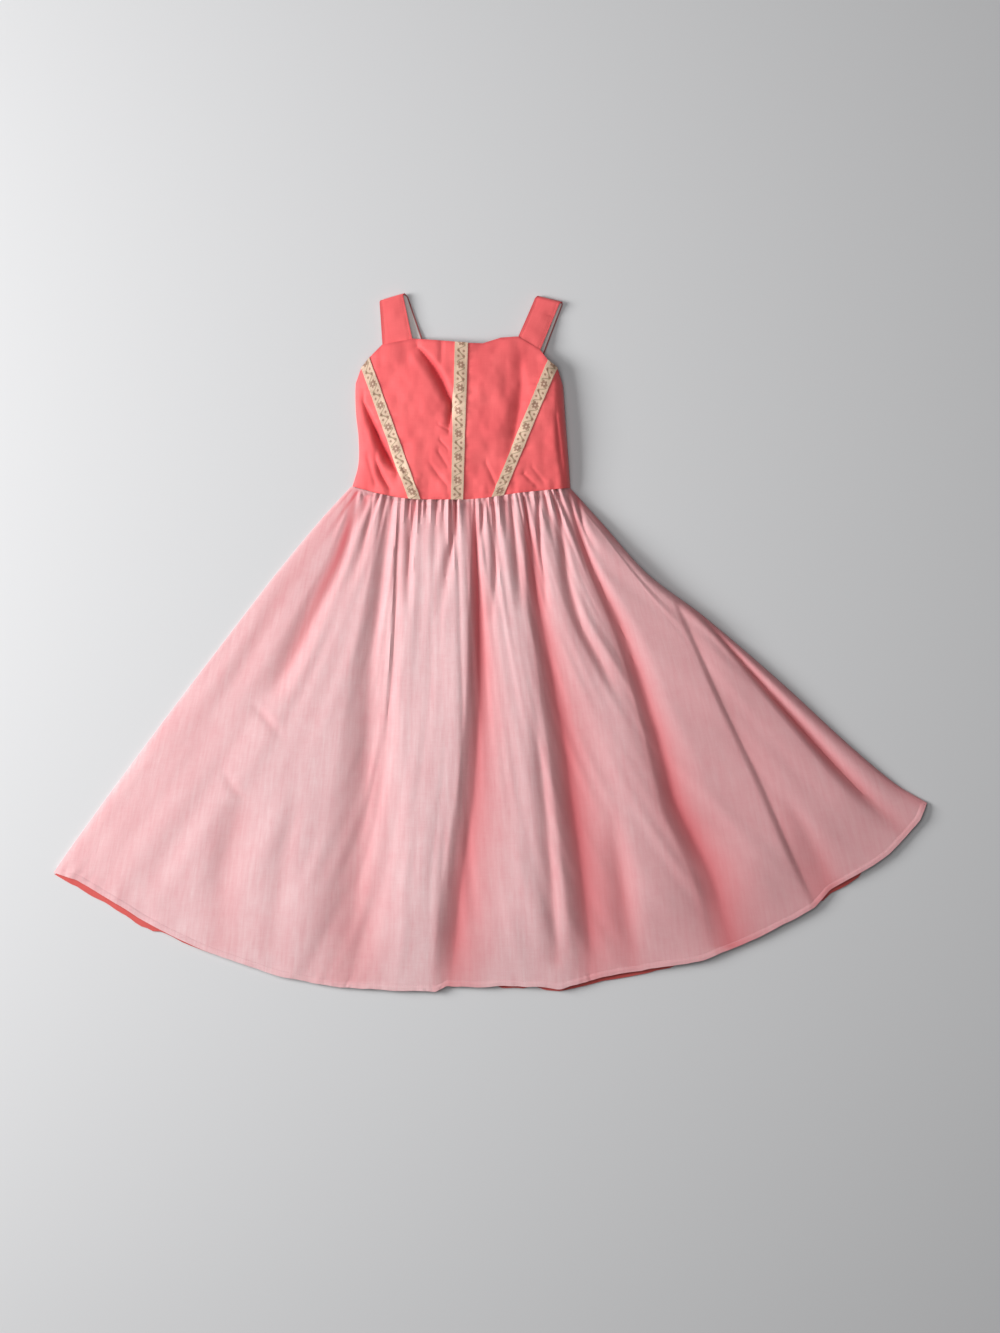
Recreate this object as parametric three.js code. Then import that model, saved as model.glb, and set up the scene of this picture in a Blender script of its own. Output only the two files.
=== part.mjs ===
// A girl's sleeveless dress, laid face up on a flat surface: a fitted bodice with two wide straps and
// three bands of woven trim, and a full skirt gathered into the waist seam, with a lining that shows below
// its hem.
//
// Millimetres. +X is to the right and +Y towards the straps, seen from above; +Z is up, and the underside
// lies on z = 0. Places on the panels are measured from the middle of the garment's outline.
import * as THREE from "three";

const WALL = 1.2; // skirt and bodice cloth
const LINING_WALL = 1.0;
const TRIM_WALL = 1.0;
const STRAP_WALL = 2.0; // two layers
const SEAM_GAP = 0.3;

const BACK_MIDDLE = WALL / 2;
const LINING_MIDDLE = WALL + SEAM_GAP + LINING_WALL / 2;
const SIDE_SEAM_HEIGHT = WALL + SEAM_GAP + WALL / 2; // middle of the front's wall, on the back's
const LOWEST_FRONT = 6.6; // middle of the front's wall at the bottom of its deepest folds

// Waist seam, from the left side to the right.
const WAIST = [
  { x: -179, y: 202 },
  { x: -143, y: 192.5 },
  { x: -105, y: 186 },
  { x: -52, y: 184.8 },
  { x: -10, y: 186.3 },
  { x: 40, y: 193.5 },
  { x: 105, y: 200 },
];
const FLARE = { x: -64, y: 350 }; // where the skirt's two side edges would meet

// Lines of the skirt's front, which its main folds follow: x at the waist, the angle from straight down at
// the hem, how far the line lies to the right of straight at places on the way, and the cells up to the
// next line.
const BEND_PLACES = [0, 0.25, 0.5, 0.75, 1];
const SKIRT_LINES = [
  { name: "left side seam", waist: -179, hem: -37.7, bend: [0, 0, 0, 0, 0], cells: 22 },
  { name: "left fold", waist: -133, hem: -8.9, bend: [0, 6, 9, 7, 0], cells: 34 },
  { name: "middle fold", waist: -24, hem: 0, bend: [0, 13, 18, 9, 0], cells: 20 },
  { name: "right fold", waist: 44, hem: 13.7, bend: [0, 0, 0, 0, 0], cells: 16 },
  { name: "far right fold", waist: 94, hem: 26.3, bend: [0, 3, 3, 2, 0], cells: 8 },
  { name: "upper layer's edge", waist: 99.5, hem: 35.3, bend: [0, 40, 35, 18.5, 0], cells: 10 },
  { name: "right side seam", waist: 105, hem: 48.5, bend: [0, 0, 0, 0, 0], cells: 0 },
];

// How far each side edge of the skirt lies outside the straight line from the waist to the hem.
const SIDE_BOW = [
  { down: 0, left: 0, right: 0 },
  { down: 0.1, left: 5, right: -7 },
  { down: 0.24, left: 8, right: -17 },
  { down: 0.39, left: 8, right: -10 },
  { down: 0.6, left: 7, right: -8 },
  { down: 0.8, left: 4.5, right: -10.5 },
  { down: 0.93, left: 2, right: -8 },
  { down: 1, left: 0, right: 0 },
];

// Hem: its distance from the flare's centre, at angles from straight down.
const HEM = [
  { angle: -37.7, radius: 820 },
  { angle: -35.4, radius: 811 },
  { angle: -32, radius: 807.5 },
  { angle: -27, radius: 809.5 },
  { angle: -14, radius: 811 },
  { angle: -2.2, radius: 804 },
  { angle: -0.4, radius: 804 },
  { angle: 0.6, radius: 797 },
  { angle: 7, radius: 802 },
  { angle: 11, radius: 815 },
  { angle: 15, radius: 813 },
  { angle: 20, radius: 822 },
  { angle: 24, radius: 836 },
  { angle: 31, radius: 844 },
  { angle: 35, radius: 848 },
  { angle: 37, radius: 842 },
  { angle: 39, radius: 846 },
  { angle: 43, radius: 856 },
  { angle: 47, radius: 853 },
  { angle: 48.5, radius: 845 },
];

// How high the skirt's front stands before its folds, across it, at shares of the way down from the waist.
const SKIRT_LOFT_ACROSS = [0, 0.2, 0.5, 0.82, 1];
const SKIRT_LOFT = [
  { down: 0, heights: [3, 14, 21, 22, 16] },
  { down: 0.25, heights: [3, 14, 24, 26, 20] },
  { down: 0.5, heights: [3, 14, 23, 23, 17] },
  { down: 0.75, heights: [3, 13, 21, 18, 11] },
  { down: 1, heights: [3, 12, 18, 14, 7] },
];

// Near the hem the front comes down to this height and this share of its own, between two shares of the way.
const HEM_LOW = { height: 4.4, share: 0.1, from: 0.83, to: 1.03 };
const SIDE_OUTWARD = { x: 0.66, y: 0.75 }; // square to the skirt's side edges
const SIDE_REACH = 4; // power by which a side edge's bow fades inwards
const SKIRT_EDGE_ROUND = { left: 45, right: 13 };

// Folds of the skirt's front. x and y are the places that each runs through, from its top to its end, and
// depth, left and right are its depth and the widths of its two sides there.
const SKIRT_FOLDS = [
  { x: [-189, -260, -350], y: [189, 78, -75], depth: [2, 3, 0], left: [9, 15, 22], right: [9, 16, 26] },
  { x: [-186, -200, -212], y: [180, 149, 120], depth: [2, 2, 0], left: [4, 5, 6], right: [4, 5, 6] },
  {
    x: [-174, -192, -222, -261, -284],
    y: [193, 119, 55, -29, -75],
    depth: [6, 8, 7, 5, 0],
    left: [7, 12, 16, 20, 22],
    right: [8, 13, 18, 22, 26],
  },
  { x: [-165, -160, -169], y: [192, 178, 150], depth: [3, 2, 0], left: [5, 6, 8], right: [5, 6, 8] },
  {
    x: [-150, -156, -164, -186],
    y: [191, 159, 120, 60],
    depth: [4, 4, 3, 0],
    left: [6, 8, 11, 15],
    right: [6, 8, 11, 15],
  },
  {
    name: "left fold",
    x: [-131, -140, -152, -157, -160, -169, -172, -174],
    y: [187, 81, -23, -120, -205, -309, -387, -440],
    depth: [4, 5, 6, 7, 8, 8, 7, 6],
    left: [8, 16, 24, 32, 38, 48, 60, 68],
    right: [9, 16, 26, 34, 44, 50, 54, 56],
  },
  {
    x: [-115, -120, -123, -130, -140],
    y: [186, 110, 3, -80, -150],
    depth: [5, 5, 4, 2, 0],
    left: [6, 8, 9, 11, 12],
    right: [7, 10, 16, 22, 26],
  },
  {
    x: [-98, -103, -106, -107],
    y: [184, 125, 80, 40],
    depth: [5, 5, 4, 0],
    left: [6, 7, 9, 10],
    right: [6, 7, 10, 12],
  },
  { x: [-83, -80, -82], y: [184, 165, 135], depth: [3, 2, 0], left: [5, 6, 8], right: [5, 6, 8] },
  { x: [-64, -62, -68], y: [184, 154, 100], depth: [4, 3, 0], left: [5, 7, 10], right: [5, 7, 10] },
  {
    x: [-44, -46, -54, -64],
    y: [184, 140, 95, 25],
    depth: [6, 6, 4, 0],
    left: [6, 8, 11, 14],
    right: [6, 8, 10, 13],
  },
  {
    name: "middle fold",
    x: [-23, -20, -23, -29, -42, -57, -66],
    y: [184, 68, -76, -174, -271, -382, -450],
    depth: [7, 11, 14, 14, 14, 13, 11],
    left: [8, 12, 18, 22, 24, 26, 26],
    right: [10, 24, 40, 46, 50, 58, 64],
  },
  { x: [-6, -10, -13], y: [185, 148, 112], depth: [4, 3, 0], left: [5, 6, 8], right: [5, 6, 8] },
  { x: [3, 7, 8, 4], y: [185, 140, 80, 22], depth: [5, 5, 4, 0], left: [6, 7, 9, 12], right: [6, 7, 9, 12] },
  { x: [15, 20, 22], y: [186, 152, 125], depth: [3, 2, 0], left: [5, 6, 7], right: [5, 6, 7] },
  {
    x: [27, 33, 38, 44],
    y: [188, 135, 85, 35],
    depth: [5, 5, 4, 0],
    left: [6, 8, 10, 14],
    right: [6, 8, 10, 14],
  },
  {
    name: "right fold",
    x: [44, 54, 70, 85, 103, 114, 127],
    y: [190, 90, -23, -105, -229, -330, -440],
    depth: [7, 11, 14, 14, 14, 13, 11],
    left: [8, 14, 22, 28, 34, 38, 40],
    right: [8, 14, 22, 30, 38, 42, 44],
  },
  { x: [64, 78, 90], y: [-118, -260, -415], depth: [0, 3, 3], left: [8, 10, 12], right: [8, 10, 12] },
  {
    x: [63, 66, 72, 74],
    y: [193, 125, 80, 35],
    depth: [5, 5, 3, 0],
    left: [5, 6, 8, 10],
    right: [5, 6, 8, 10],
  },
  { x: [72, 78, 84], y: [195, 158, 128], depth: [3, 2, 0], left: [5, 6, 7], right: [5, 6, 7] },
  {
    x: [86, 96, 103, 120, 143, 168],
    y: [197, 125, 75, 18, -25, -75],
    depth: [5, 6, 7, 7, 5, 0],
    left: [6, 10, 14, 17, 19, 20],
    right: [6, 9, 11, 13, 15, 16],
  },
  {
    name: "far right fold",
    x: [97, 125, 164, 194, 222, 266, 301],
    y: [199, 107, 16, -75, -177, -287, -395],
    depth: [5, 8, 11, 14, 15, 14, 12],
    left: [6, 12, 18, 26, 34, 40, 44],
    right: [6, 10, 15, 24, 36, 44, 54],
  },
  { x: [115, 124, 142], y: [180, 145, 112], depth: [4, 4, 0], left: [5, 8, 10], right: [5, 8, 10] },
  { x: [142, 160, 182], y: [160, 136, 108], depth: [3, 3, 0], left: [5, 7, 8], right: [5, 7, 8] },
  {
    name: "upper layer's edge",
    x: [245, 272, 307, 349, 393, 430],
    y: [47, -12, -89, -175, -275, -352],
    depth: [3, 4, 4.5, 4.5, 5, 4.5],
    left: [4, 5, 6, 7, 8, 8],
    right: [12, 22, 32, 38, 44, 50],
    bottom: 0.05,
  },
  {
    name: "crease in the layer below it",
    x: [254, 326, 396, 456, 530],
    y: [51, -31, -110, -176, -246],
    depth: [3, 7, 9, 8, 3],
    left: [5, 8, 11, 14, 18],
    right: [5, 8, 11, 14, 18],
  },
  {
    x: [-305, -322, -341, -357],
    y: [-190, -240, -309, -395],
    depth: [1, 4, 5, 4],
    left: [20, 26, 32, 34],
    right: [20, 26, 32, 34],
  },
  { x: [158, 172, 188], y: [-200, -310, -420], depth: [0, 4, 4], left: [18, 26, 30], right: [18, 26, 30] },
  { x: [-309, -288, -268], y: [-77, -101, -128], depth: [0, 2.4, 0], left: [7, 9, 7], right: [7, 9, 7] },
  { x: [-347, -334, -320], y: [-162, -186, -208], depth: [0, 2.2, 0], left: [7, 9, 7], right: [7, 9, 7] },
  { x: [-245, -262, -285], y: [-150, -260, -400], depth: [0, 2, 2], left: [16, 22, 26], right: [16, 22, 26] },
];

// Shares of the way down at which the cloth's rows lie.
const SKIRT_ROWS = [
  0, 0.012, 0.03, 0.055, 0.09, 0.135, 0.19, 0.25, 0.32, 0.4, 0.48, 0.56, 0.64, 0.72, 0.8, 0.87, 0.94, 1,
];

// Small gathers all along the waist seam, between the folds above.
const GATHERS = { count: 27, depth: 1.6, reach: 42, drift: 0.35, waves: [17, 41] };
const SEAM_DIP = { depth: 2, reach: 6 };

// The skirt's back lies on the surface, inside the front's outline. Its gathers rise near the waist.
const SKIRT_BACK = {
  columns: 84,
  rows: [0, 0.025, 0.06, 0.11, 0.18, 0.27, 0.45, 0.75, 1],
  inset: 0.5,
  hemInset: 8,
};
const HIDDEN_GATHERS = { height: 2.3, reach: 0.11, sideShare: 0.17 };
const LINING = {
  columns: 56,
  rows: [0, 0.08, 0.2, 0.45, 0.75, 0.93, 1],
  start: 0.035, // share of the way down from the waist at which it begins
  rise: 5.2,
  inset: 9,
  hemInset: 17,
};

// How far the lining's hem shows beyond the front's hem, at shares of the way across.
const LINING_SHOWS = [
  { share: 0, beyond: 1 },
  { share: 0.08, beyond: 8 },
  { share: 0.16, beyond: 15 },
  { share: 0.2, beyond: 4 },
  { share: 0.24, beyond: -6 },
  { share: 0.45, beyond: -8 },
  { share: 0.53, beyond: 2.5 },
  { share: 0.56, beyond: -3 },
  { share: 0.6, beyond: 4 },
  { share: 0.67, beyond: 4 },
  { share: 0.7, beyond: -6 },
  { share: 0.82, beyond: -8 },
  { share: 0.86, beyond: 2 },
  { share: 0.9, beyond: 7 },
  { share: 0.94, beyond: -2 },
  { share: 1, beyond: -12 },
];

// Bodice front: lines that run up from the waist seam to the top edge, with the cells from each to the
// next.
const BODICE_LINES = [
  { name: "left side seam", waist: -179, top: [-172, 336], cells: 5 },
  { name: "left trim, outer edge", waist: -104.5, top: [-166, 355.8], cells: 2 },
  { name: "left trim, inner edge", waist: -89, top: [-155.5, 369.5], cells: 2 },
  { name: "left strap, outer edge", waist: -78, top: [-139, 386], cells: 3 },
  { name: "left strap, inner edge", waist: -64, top: [-100, 394], cells: 3 },
  { name: "centre trim, left edge", waist: -49.5, top: [-44.5, 389.8], cells: 2 },
  { name: "centre trim, right edge", waist: -33.8, top: [-27.5, 387.9], cells: 2 },
  { name: "neckline's low point", waist: -22, top: [-8, 387.5], cells: 2 },
  { name: "neckline's right rise", waist: -12, top: [15, 395], cells: 2 },
  { name: "right strap, inner edge", waist: -5, top: [37, 396.5], cells: 3 },
  { name: "right strap, outer edge", waist: 0, top: [66, 379], cells: 2 },
  { name: "right trim, inner edge", waist: 3, top: [76, 366], cells: 2 },
  { name: "right trim, outer edge", waist: 19, top: [88, 355.5], cells: 5 },
  { name: "right side seam", waist: 105, top: [95, 334], cells: 0 },
];
const BODICE_ROWS = 16;
const BODICE_SIDES = { bottom: 196, top: 400 };
const BODICE_LEFT = [-179, -169.5, -169, -172.5, -173, -169, -163];
const BODICE_RIGHT = [105, 103, 100.5, 98, 95.5, 90, 84];
const BODICE_LOFT_ACROSS = [0, 0.25, 0.5, 0.75, 1];
const BODICE_LOFT = [
  { up: 0, heights: [9, 17, 20, 21, 19.5] },
  { up: 0.35, heights: [9, 18, 21, 22, 21] },
  { up: 0.7, heights: [8, 14, 18, 19, 18] },
  { up: 1, heights: [6, 9, 12.5, 11, 10] },
];
const BODICE_EDGE_ROUND = { left: 24, right: 13 };
const BODICE_FOLDS = [
  {
    x: [-163, -152, -141, -129, -119],
    y: [312, 287, 262, 238, 220],
    depth: [2, 4, 5, 5, 2],
    left: [8, 10, 12, 13, 10],
    right: [5, 7, 8, 8, 7],
  },
  {
    x: [-100, -84, -68, -50],
    y: [380, 352, 328, 305],
    depth: [2, 5, 5, 3],
    left: [8, 12, 14, 14],
    right: [7, 9, 10, 10],
  },
  {
    x: [35, 34, 28, 20],
    y: [362, 315, 278, 240],
    depth: [1, 3, 3, 1],
    left: [10, 14, 16, 16],
    right: [8, 10, 10, 10],
  },
  {
    x: [78, 84, 90, 99],
    y: [292, 263, 235, 210],
    depth: [2, 4, 5, 4],
    left: [6, 8, 8, 8],
    right: [5, 6, 6, 6],
  },
  { x: [-75, -66, -54], y: [232, 216, 202], depth: [0, 1.6, 0.6], left: [4, 5, 5], right: [4, 5, 5] },
];

// Bodice back: two halves that meet at the centre back, from the waist seam up to a straight top edge.
const BODICE_BACK = { centre: -42, inset: 0.6, waistGap: 0.35, edgeShares: [0.2, 0.45, 0.7], cells: 6 };
const BACK_HALVES = {
  left: { underarm: [-169, 340], shoulder: [-150, 362], top: [-132, 377] },
  right: { underarm: [92, 340], shoulder: [78, 362], top: [60, 377] },
};

// Straps: each is one band, from the bodice's back up to a fold and down to the bodice's front. Corners are
// given as seen from above, left and right, at the ends and at the fold.
const STRAP_TURN = 2.7; // radius of the turn at the fold
const STRAP_TUCK = 9; // how far each end goes in behind the bodice
const STRAP_CLEAR = 0.4; // below the bodice's front, whose folds the strap's end doesn't follow
const STRAP_CELLS = 4;
const STRAP_SECTIONS = {
  back: [
    { up: 0, rise: 1 },
    { up: 0.13, rise: 1 },
    { up: 0.3, rise: 0.5 },
    { up: 0.45, rise: 0 },
    { up: 0.65, rise: 0 },
    { up: 0.85, rise: 0 },
  ],
  turn: [-90, -54, -18, 18, 54, 90],
  front: [
    { down: 0.22, rise: 0.2 },
    { down: 0.42, rise: 0.4 },
    { down: 0.62, rise: 0.6 },
    { down: 0.81, rise: 0.9 },
    { down: 1, rise: 1 },
  ],
};
const STRAPS = {
  left: {
    frontBase: [[-138.5, 385.5], [-99.5, 392.5]],
    frontFold: [[-142.5, 444], [-112.5, 453]],
    backFold: [[-137, 442.5], [-106.5, 451.5]],
    backBase: [[-124, 378], [-84, 386]],
  },
  right: {
    frontBase: [[37.5, 395.5], [66, 378.5]],
    frontFold: [[60.5, 449], [92, 441.5]],
    backFold: [[66, 449], [96.5, 441]],
    backBase: [[38, 386], [71, 374]],
  },
};

const COLOURS = { coral: 0xe8585c, pink: 0xdfa3a8, trim: 0xd9bb94 };

const FOLD_FADE = 26; // a fold that ends inside a panel fades over this length past its end
const FOLD_BOTTOM = 0.14; // share of a fold's width that is round at its bottom
const FOLD_STEP = 4; // how far each way along a fold its slope is taken
const NARROWEST_SIDE = 1; // of a fold
const EASING = 0.5; // how softly the front's height levels off above the layers below

const clamp = (value, low, high) => Math.min(high, Math.max(low, value));
const mix = (a, b, share) => a + (b - a) * share;
const radians = THREE.MathUtils.degToRad;

/** A smooth curve through evenly or unevenly spaced values, read at one place. */
function curveAt(places, values, place) {
  const last = places.length - 1;
  const at = clamp(place, places[0], places[last]);
  let k = 0;
  while (k < last - 1 && at > places[k + 1]) k += 1;
  const slope = (a, b) => (values[b] - values[a]) / (places[b] - places[a]);
  const span = places[k + 1] - places[k];
  const startSlope = k > 0 ? slope(k - 1, k + 1) : slope(k, k + 1);
  const endSlope = k + 2 <= last ? slope(k, k + 2) : slope(k, k + 1);
  const t = (at - places[k]) / span;
  const t2 = t * t;
  const t3 = t2 * t;
  return (
    (2 * t3 - 3 * t2 + 1) * values[k] +
    (t3 - 2 * t2 + t) * span * startSlope +
    (3 * t2 - 2 * t3) * values[k + 1] +
    (t3 - t2) * span * endSlope
  );
}

/** Straight lines between the rows of a table, read at one place. */
function tableAt(rows, placeName, valueName, place) {
  const at = clamp(place, rows[0][placeName], rows[rows.length - 1][placeName]);
  const k = Math.max(1, rows.findIndex((row) => row[placeName] >= at));
  const [a, b] = [rows[k - 1], rows[k]];
  return mix(a[valueName], b[valueName], (at - a[placeName]) / (b[placeName] - a[placeName]));
}

const column = (rows, name) => rows.map((row) => row[name]);

/** A loft table read across and along. */
function loftAt(rows, along, places, acrossPlaces, across) {
  const heights = rows.map((row) => curveAt(acrossPlaces, row.heights, across));
  return curveAt(places, heights, along);
}

/** How deep one fold is at a place: a narrow bottom with round shoulders. */
function foldDepth(fold, x, y) {
  const past = Math.max(0, y - fold.y[0], fold.y[fold.y.length - 1] - y) / FOLD_FADE;
  if (past >= 1) return 0;
  const places = fold.y.map((place) => -place);
  const read = (values, at) => curveAt(places, values, -at);
  const slope = (read(fold.x, y - FOLD_STEP) - read(fold.x, y + FOLD_STEP)) / (2 * FOLD_STEP);
  const away = (x - read(fold.x, y)) / Math.hypot(1, slope);
  const width = Math.max(NARROWEST_SIDE, read(away < 0 ? fold.left : fold.right, y));
  const bottom = fold.bottom ?? FOLD_BOTTOM;
  const shape = Math.hypot(away / width, bottom) - bottom;
  if (shape >= 1) return 0;
  return read(fold.depth, y) * (1 - past) ** 2 * (1 - shape) ** 2;
}

const foldsDepth = (folds, x, y) => folds.reduce((sum, fold) => sum + foldDepth(fold, x, y), 0);

/** Rounds a panel down to the side seam over the last stretch before its edge. */
function roundedEdge(height, fromEdge, round) {
  const share = clamp(fromEdge / round, 0, 1);
  return mix(SIDE_SEAM_HEIGHT, height, Math.sqrt(1 - (1 - share) ** 2));
}

const waistLine = (x) => curveAt(column(WAIST, "x"), column(WAIST, "y"), x);

const skirtCells = SKIRT_LINES.reduce((sum, line) => sum + line.cells, 0);
const [leftSeam, rightSeam] = [SKIRT_LINES[0], SKIRT_LINES[SKIRT_LINES.length - 1]];
let cellsBefore = 0;
const skirtLines = SKIRT_LINES.map((line) => {
  const across = cellsBefore / skirtCells;
  cellsBefore += line.cells;
  return { ...line, across };
});

/**
 * A place on the skirt: across from the left side to the right, in shares of the front's cells, and down
 * from the waist to the hem. Its share is the distance from the left side, as a share of the width there.
 */
function skirtPlan(across, down, beyond = 0) {
  const waistX = tableAt(skirtLines, "across", "waist", across);
  const angle = tableAt(skirtLines, "across", "hem", across);
  const radius = tableAt(HEM, "angle", "radius", angle) + beyond;
  const hem = [FLARE.x + radius * Math.sin(radians(angle)), FLARE.y - radius * Math.cos(radians(angle))];
  const waist = [waistX, waistLine(waistX) - SEAM_GAP / 2];
  const waistShare = (waistX - leftSeam.waist) / (rightSeam.waist - leftSeam.waist);
  const hemShare = (angle - leftSeam.hem) / (rightSeam.hem - leftSeam.hem);
  const share = mix(waistShare, hemShare, down);
  const bow = (side) => curveAt(column(SIDE_BOW, "down"), column(SIDE_BOW, side), down);
  const leftBow = bow("left") * (1 - share) ** SIDE_REACH;
  const rightBow = bow("right") * share ** SIDE_REACH;
  const bendOf = (line) => curveAt(BEND_PLACES, line.bend, down);
  const bends = skirtLines.map((line) => ({ across: line.across, bend: bendOf(line) }));
  const bend = tableAt(bends, "across", "bend", across);
  return {
    x: mix(waist[0], hem[0], down) + bend + (rightBow - leftBow) * SIDE_OUTWARD.x,
    y: mix(waist[1], hem[1], down) + (rightBow + leftBow) * SIDE_OUTWARD.y,
    share,
  };
}

/** The left and right side seams' places at a share of the way down. */
const skirtSides = (down) => [skirtPlan(0, down), skirtPlan(1, down)];

const distance = (a, b) => Math.hypot(b.x - a.x, b.y - a.y);

/** Small gathers below the waist seam, at a share of the way across it. */
function gatherWave(share) {
  const drift = GATHERS.waves.reduce((sum, wave) => sum + Math.sin(share * wave), 0);
  return Math.cos(2 * Math.PI * (share * GATHERS.count + GATHERS.drift * drift));
}

/** Middle of the wall of the skirt's front at a place of its plan. */
function skirtHeight(place, down) {
  const { x, y, share } = place;
  const loft = loftAt(SKIRT_LOFT, down, column(SKIRT_LOFT, "down"), SKIRT_LOFT_ACROSS, share);
  const below = waistLine(x) - y;
  const gathers = GATHERS.depth * gatherWave(share) * Math.exp(-below / GATHERS.reach);
  const dip = SEAM_DIP.depth * Math.exp(-((below / SEAM_DIP.reach) ** 2));
  const open = loft + gathers - dip - foldsDepth(SKIRT_FOLDS, x, y);
  const clear = LOWEST_FRONT + EASING * Math.log1p(Math.exp((open - LOWEST_FRONT) / EASING));
  const atHem = Math.min(clear, HEM_LOW.height + HEM_LOW.share * clear);
  const height = mix(clear, atHem, THREE.MathUtils.smoothstep(down, HEM_LOW.from, HEM_LOW.to));
  const [left, right] = skirtSides(down);
  const fromLeft = roundedEdge(height, distance(left, place), SKIRT_EDGE_ROUND.left);
  return Math.min(fromLeft, roundedEdge(height, distance(place, right), SKIRT_EDGE_ROUND.right));
}

/** Unit normals of a sheet of points, with the end rows' kept square to the seams there. */
function sheetNormals(sheet) {
  const last = [sheet.length - 1, sheet[0].length - 1];
  return sheet.map((row, i) =>
    row.map((point, j) => {
      const along = sheet[Math.min(i + 1, last[0])][j].clone().sub(sheet[Math.max(i - 1, 0)][j]);
      const across = row[Math.min(j + 1, last[1])].clone().sub(row[Math.max(j - 1, 0)]);
      const normal = along.clone().cross(across).normalize();
      if (i > 0 && i < last[0]) return normal;
      const outward = new THREE.Vector3(-across.y, across.x, 0).normalize();
      return normal.addScaledVector(outward, -normal.dot(outward)).normalize();
    }),
  );
}

/** A closed wall of cloth around a sheet of points: rows run down and columns to the right. */
function clothWall(sheet, thickness, lift = 0) {
  const [rows, columns] = [sheet.length, sheet[0].length];
  const normals = sheetNormals(sheet);
  const positions = [];
  for (const side of [0.5, -0.5])
    sheet.forEach((row, i) =>
      row.forEach((point, j) => {
        const moved = point.clone().addScaledVector(normals[i][j], lift + side * thickness);
        positions.push(moved.x, moved.y, moved.z);
      }),
    );
  const outer = (i, j) => i * columns + j;
  const inner = (i, j) => rows * columns + outer(i, j);
  const faces = [];
  const quad = (a, b, c, d) => faces.push(a, b, c, a, c, d);
  for (let i = 0; i < rows - 1; i += 1)
    for (let j = 0; j < columns - 1; j += 1) {
      quad(outer(i, j), outer(i + 1, j), outer(i + 1, j + 1), outer(i, j + 1));
      faces.push(inner(i, j), inner(i + 1, j + 1), inner(i + 1, j));
      faces.push(inner(i, j), inner(i, j + 1), inner(i + 1, j + 1));
    }
  const rim = [];
  for (let i = 0; i < rows - 1; i += 1) rim.push([i, 0]);
  for (let j = 0; j < columns - 1; j += 1) rim.push([rows - 1, j]);
  for (let i = rows - 1; i > 0; i -= 1) rim.push([i, columns - 1]);
  for (let j = columns - 1; j > 0; j -= 1) rim.push([0, j]);
  rim.forEach((here, k) => {
    const next = rim[(k + 1) % rim.length];
    quad(outer(...here), inner(...here), inner(...next), outer(...next));
  });
  const geometry = new THREE.BufferGeometry();
  geometry.setAttribute("position", new THREE.Float32BufferAttribute(positions, 3));
  geometry.setIndex(faces);
  geometry.computeVertexNormals();
  return geometry;
}

/** A cloth piece of the garment, with the colour and finish of its cloth. */
function piece(name, geometry, colour, roughness = 0.85) {
  const cloth = new THREE.MeshStandardMaterial({ color: colour, roughness, metalness: 0 });
  const mesh = new THREE.Mesh(geometry, cloth);
  mesh.name = name;
  return mesh;
}

const steps = (count) => Array.from({ length: count + 1 }, (_, k) => k / count);

function skirtFront() {
  const sheet = SKIRT_ROWS.map((down) =>
    steps(skirtCells).map((across) => {
      const place = skirtPlan(across, down);
      return new THREE.Vector3(place.x, place.y, skirtHeight(place, down));
    }),
  );
  return piece("skirt_front", clothWall(sheet, WALL), COLOURS.pink);
}

/** A place of a hidden layer of the skirt, moved in from the side edges. */
function insetPlan(across, down, inset, beyond) {
  const [left, right] = skirtSides(down);
  const { x, y, share } = skirtPlan(across, down, beyond);
  const inward = (inset * (1 - 2 * share)) / distance(left, right);
  return { x: x + inward * (right.x - left.x), y: y + inward * (right.y - left.y), share };
}

/** How much a gather of a hidden layer rises near the waist: nothing at the sides, most in the middle. */
function hiddenRise(share, down) {
  const { reach, sideShare } = HIDDEN_GATHERS;
  return Math.exp(-((down / reach) ** 2)) * Math.min(1, share / sideShare, (1 - share) / sideShare);
}

function skirtBack() {
  const sheet = SKIRT_BACK.rows.map((down) =>
    steps(SKIRT_BACK.columns).map((across) => {
      const { x, y, share } = insetPlan(across, down, SKIRT_BACK.inset, -SKIRT_BACK.hemInset);
      const wave = 0.5 + 0.5 * gatherWave(share);
      return new THREE.Vector3(x, y, BACK_MIDDLE + HIDDEN_GATHERS.height * wave * hiddenRise(share, down));
    }),
  );
  return piece("skirt_back", clothWall(sheet, WALL), COLOURS.pink);
}

function skirtLining() {
  const sheet = LINING.rows.map((along) =>
    steps(LINING.columns).map((across) => {
      const down = mix(LINING.start, 1, along);
      const shows = tableAt(LINING_SHOWS, "share", "beyond", skirtPlan(across, 1).share);
      const { x, y, share } = insetPlan(across, down, mix(LINING.inset, LINING.hemInset, along), shows);
      return new THREE.Vector3(x, y, LINING_MIDDLE + LINING.rise * hiddenRise(share, down));
    }),
  );
  return piece("skirt_lining", clothWall(sheet, LINING_WALL), COLOURS.coral);
}

/** A side edge of the bodice, from a table of places evenly spaced upwards. */
function bodiceSide(table, y) {
  const share = clamp((y - BODICE_SIDES.bottom) / (BODICE_SIDES.top - BODICE_SIDES.bottom), 0, 1);
  return curveAt(steps(table.length - 1), table, share);
}

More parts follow.
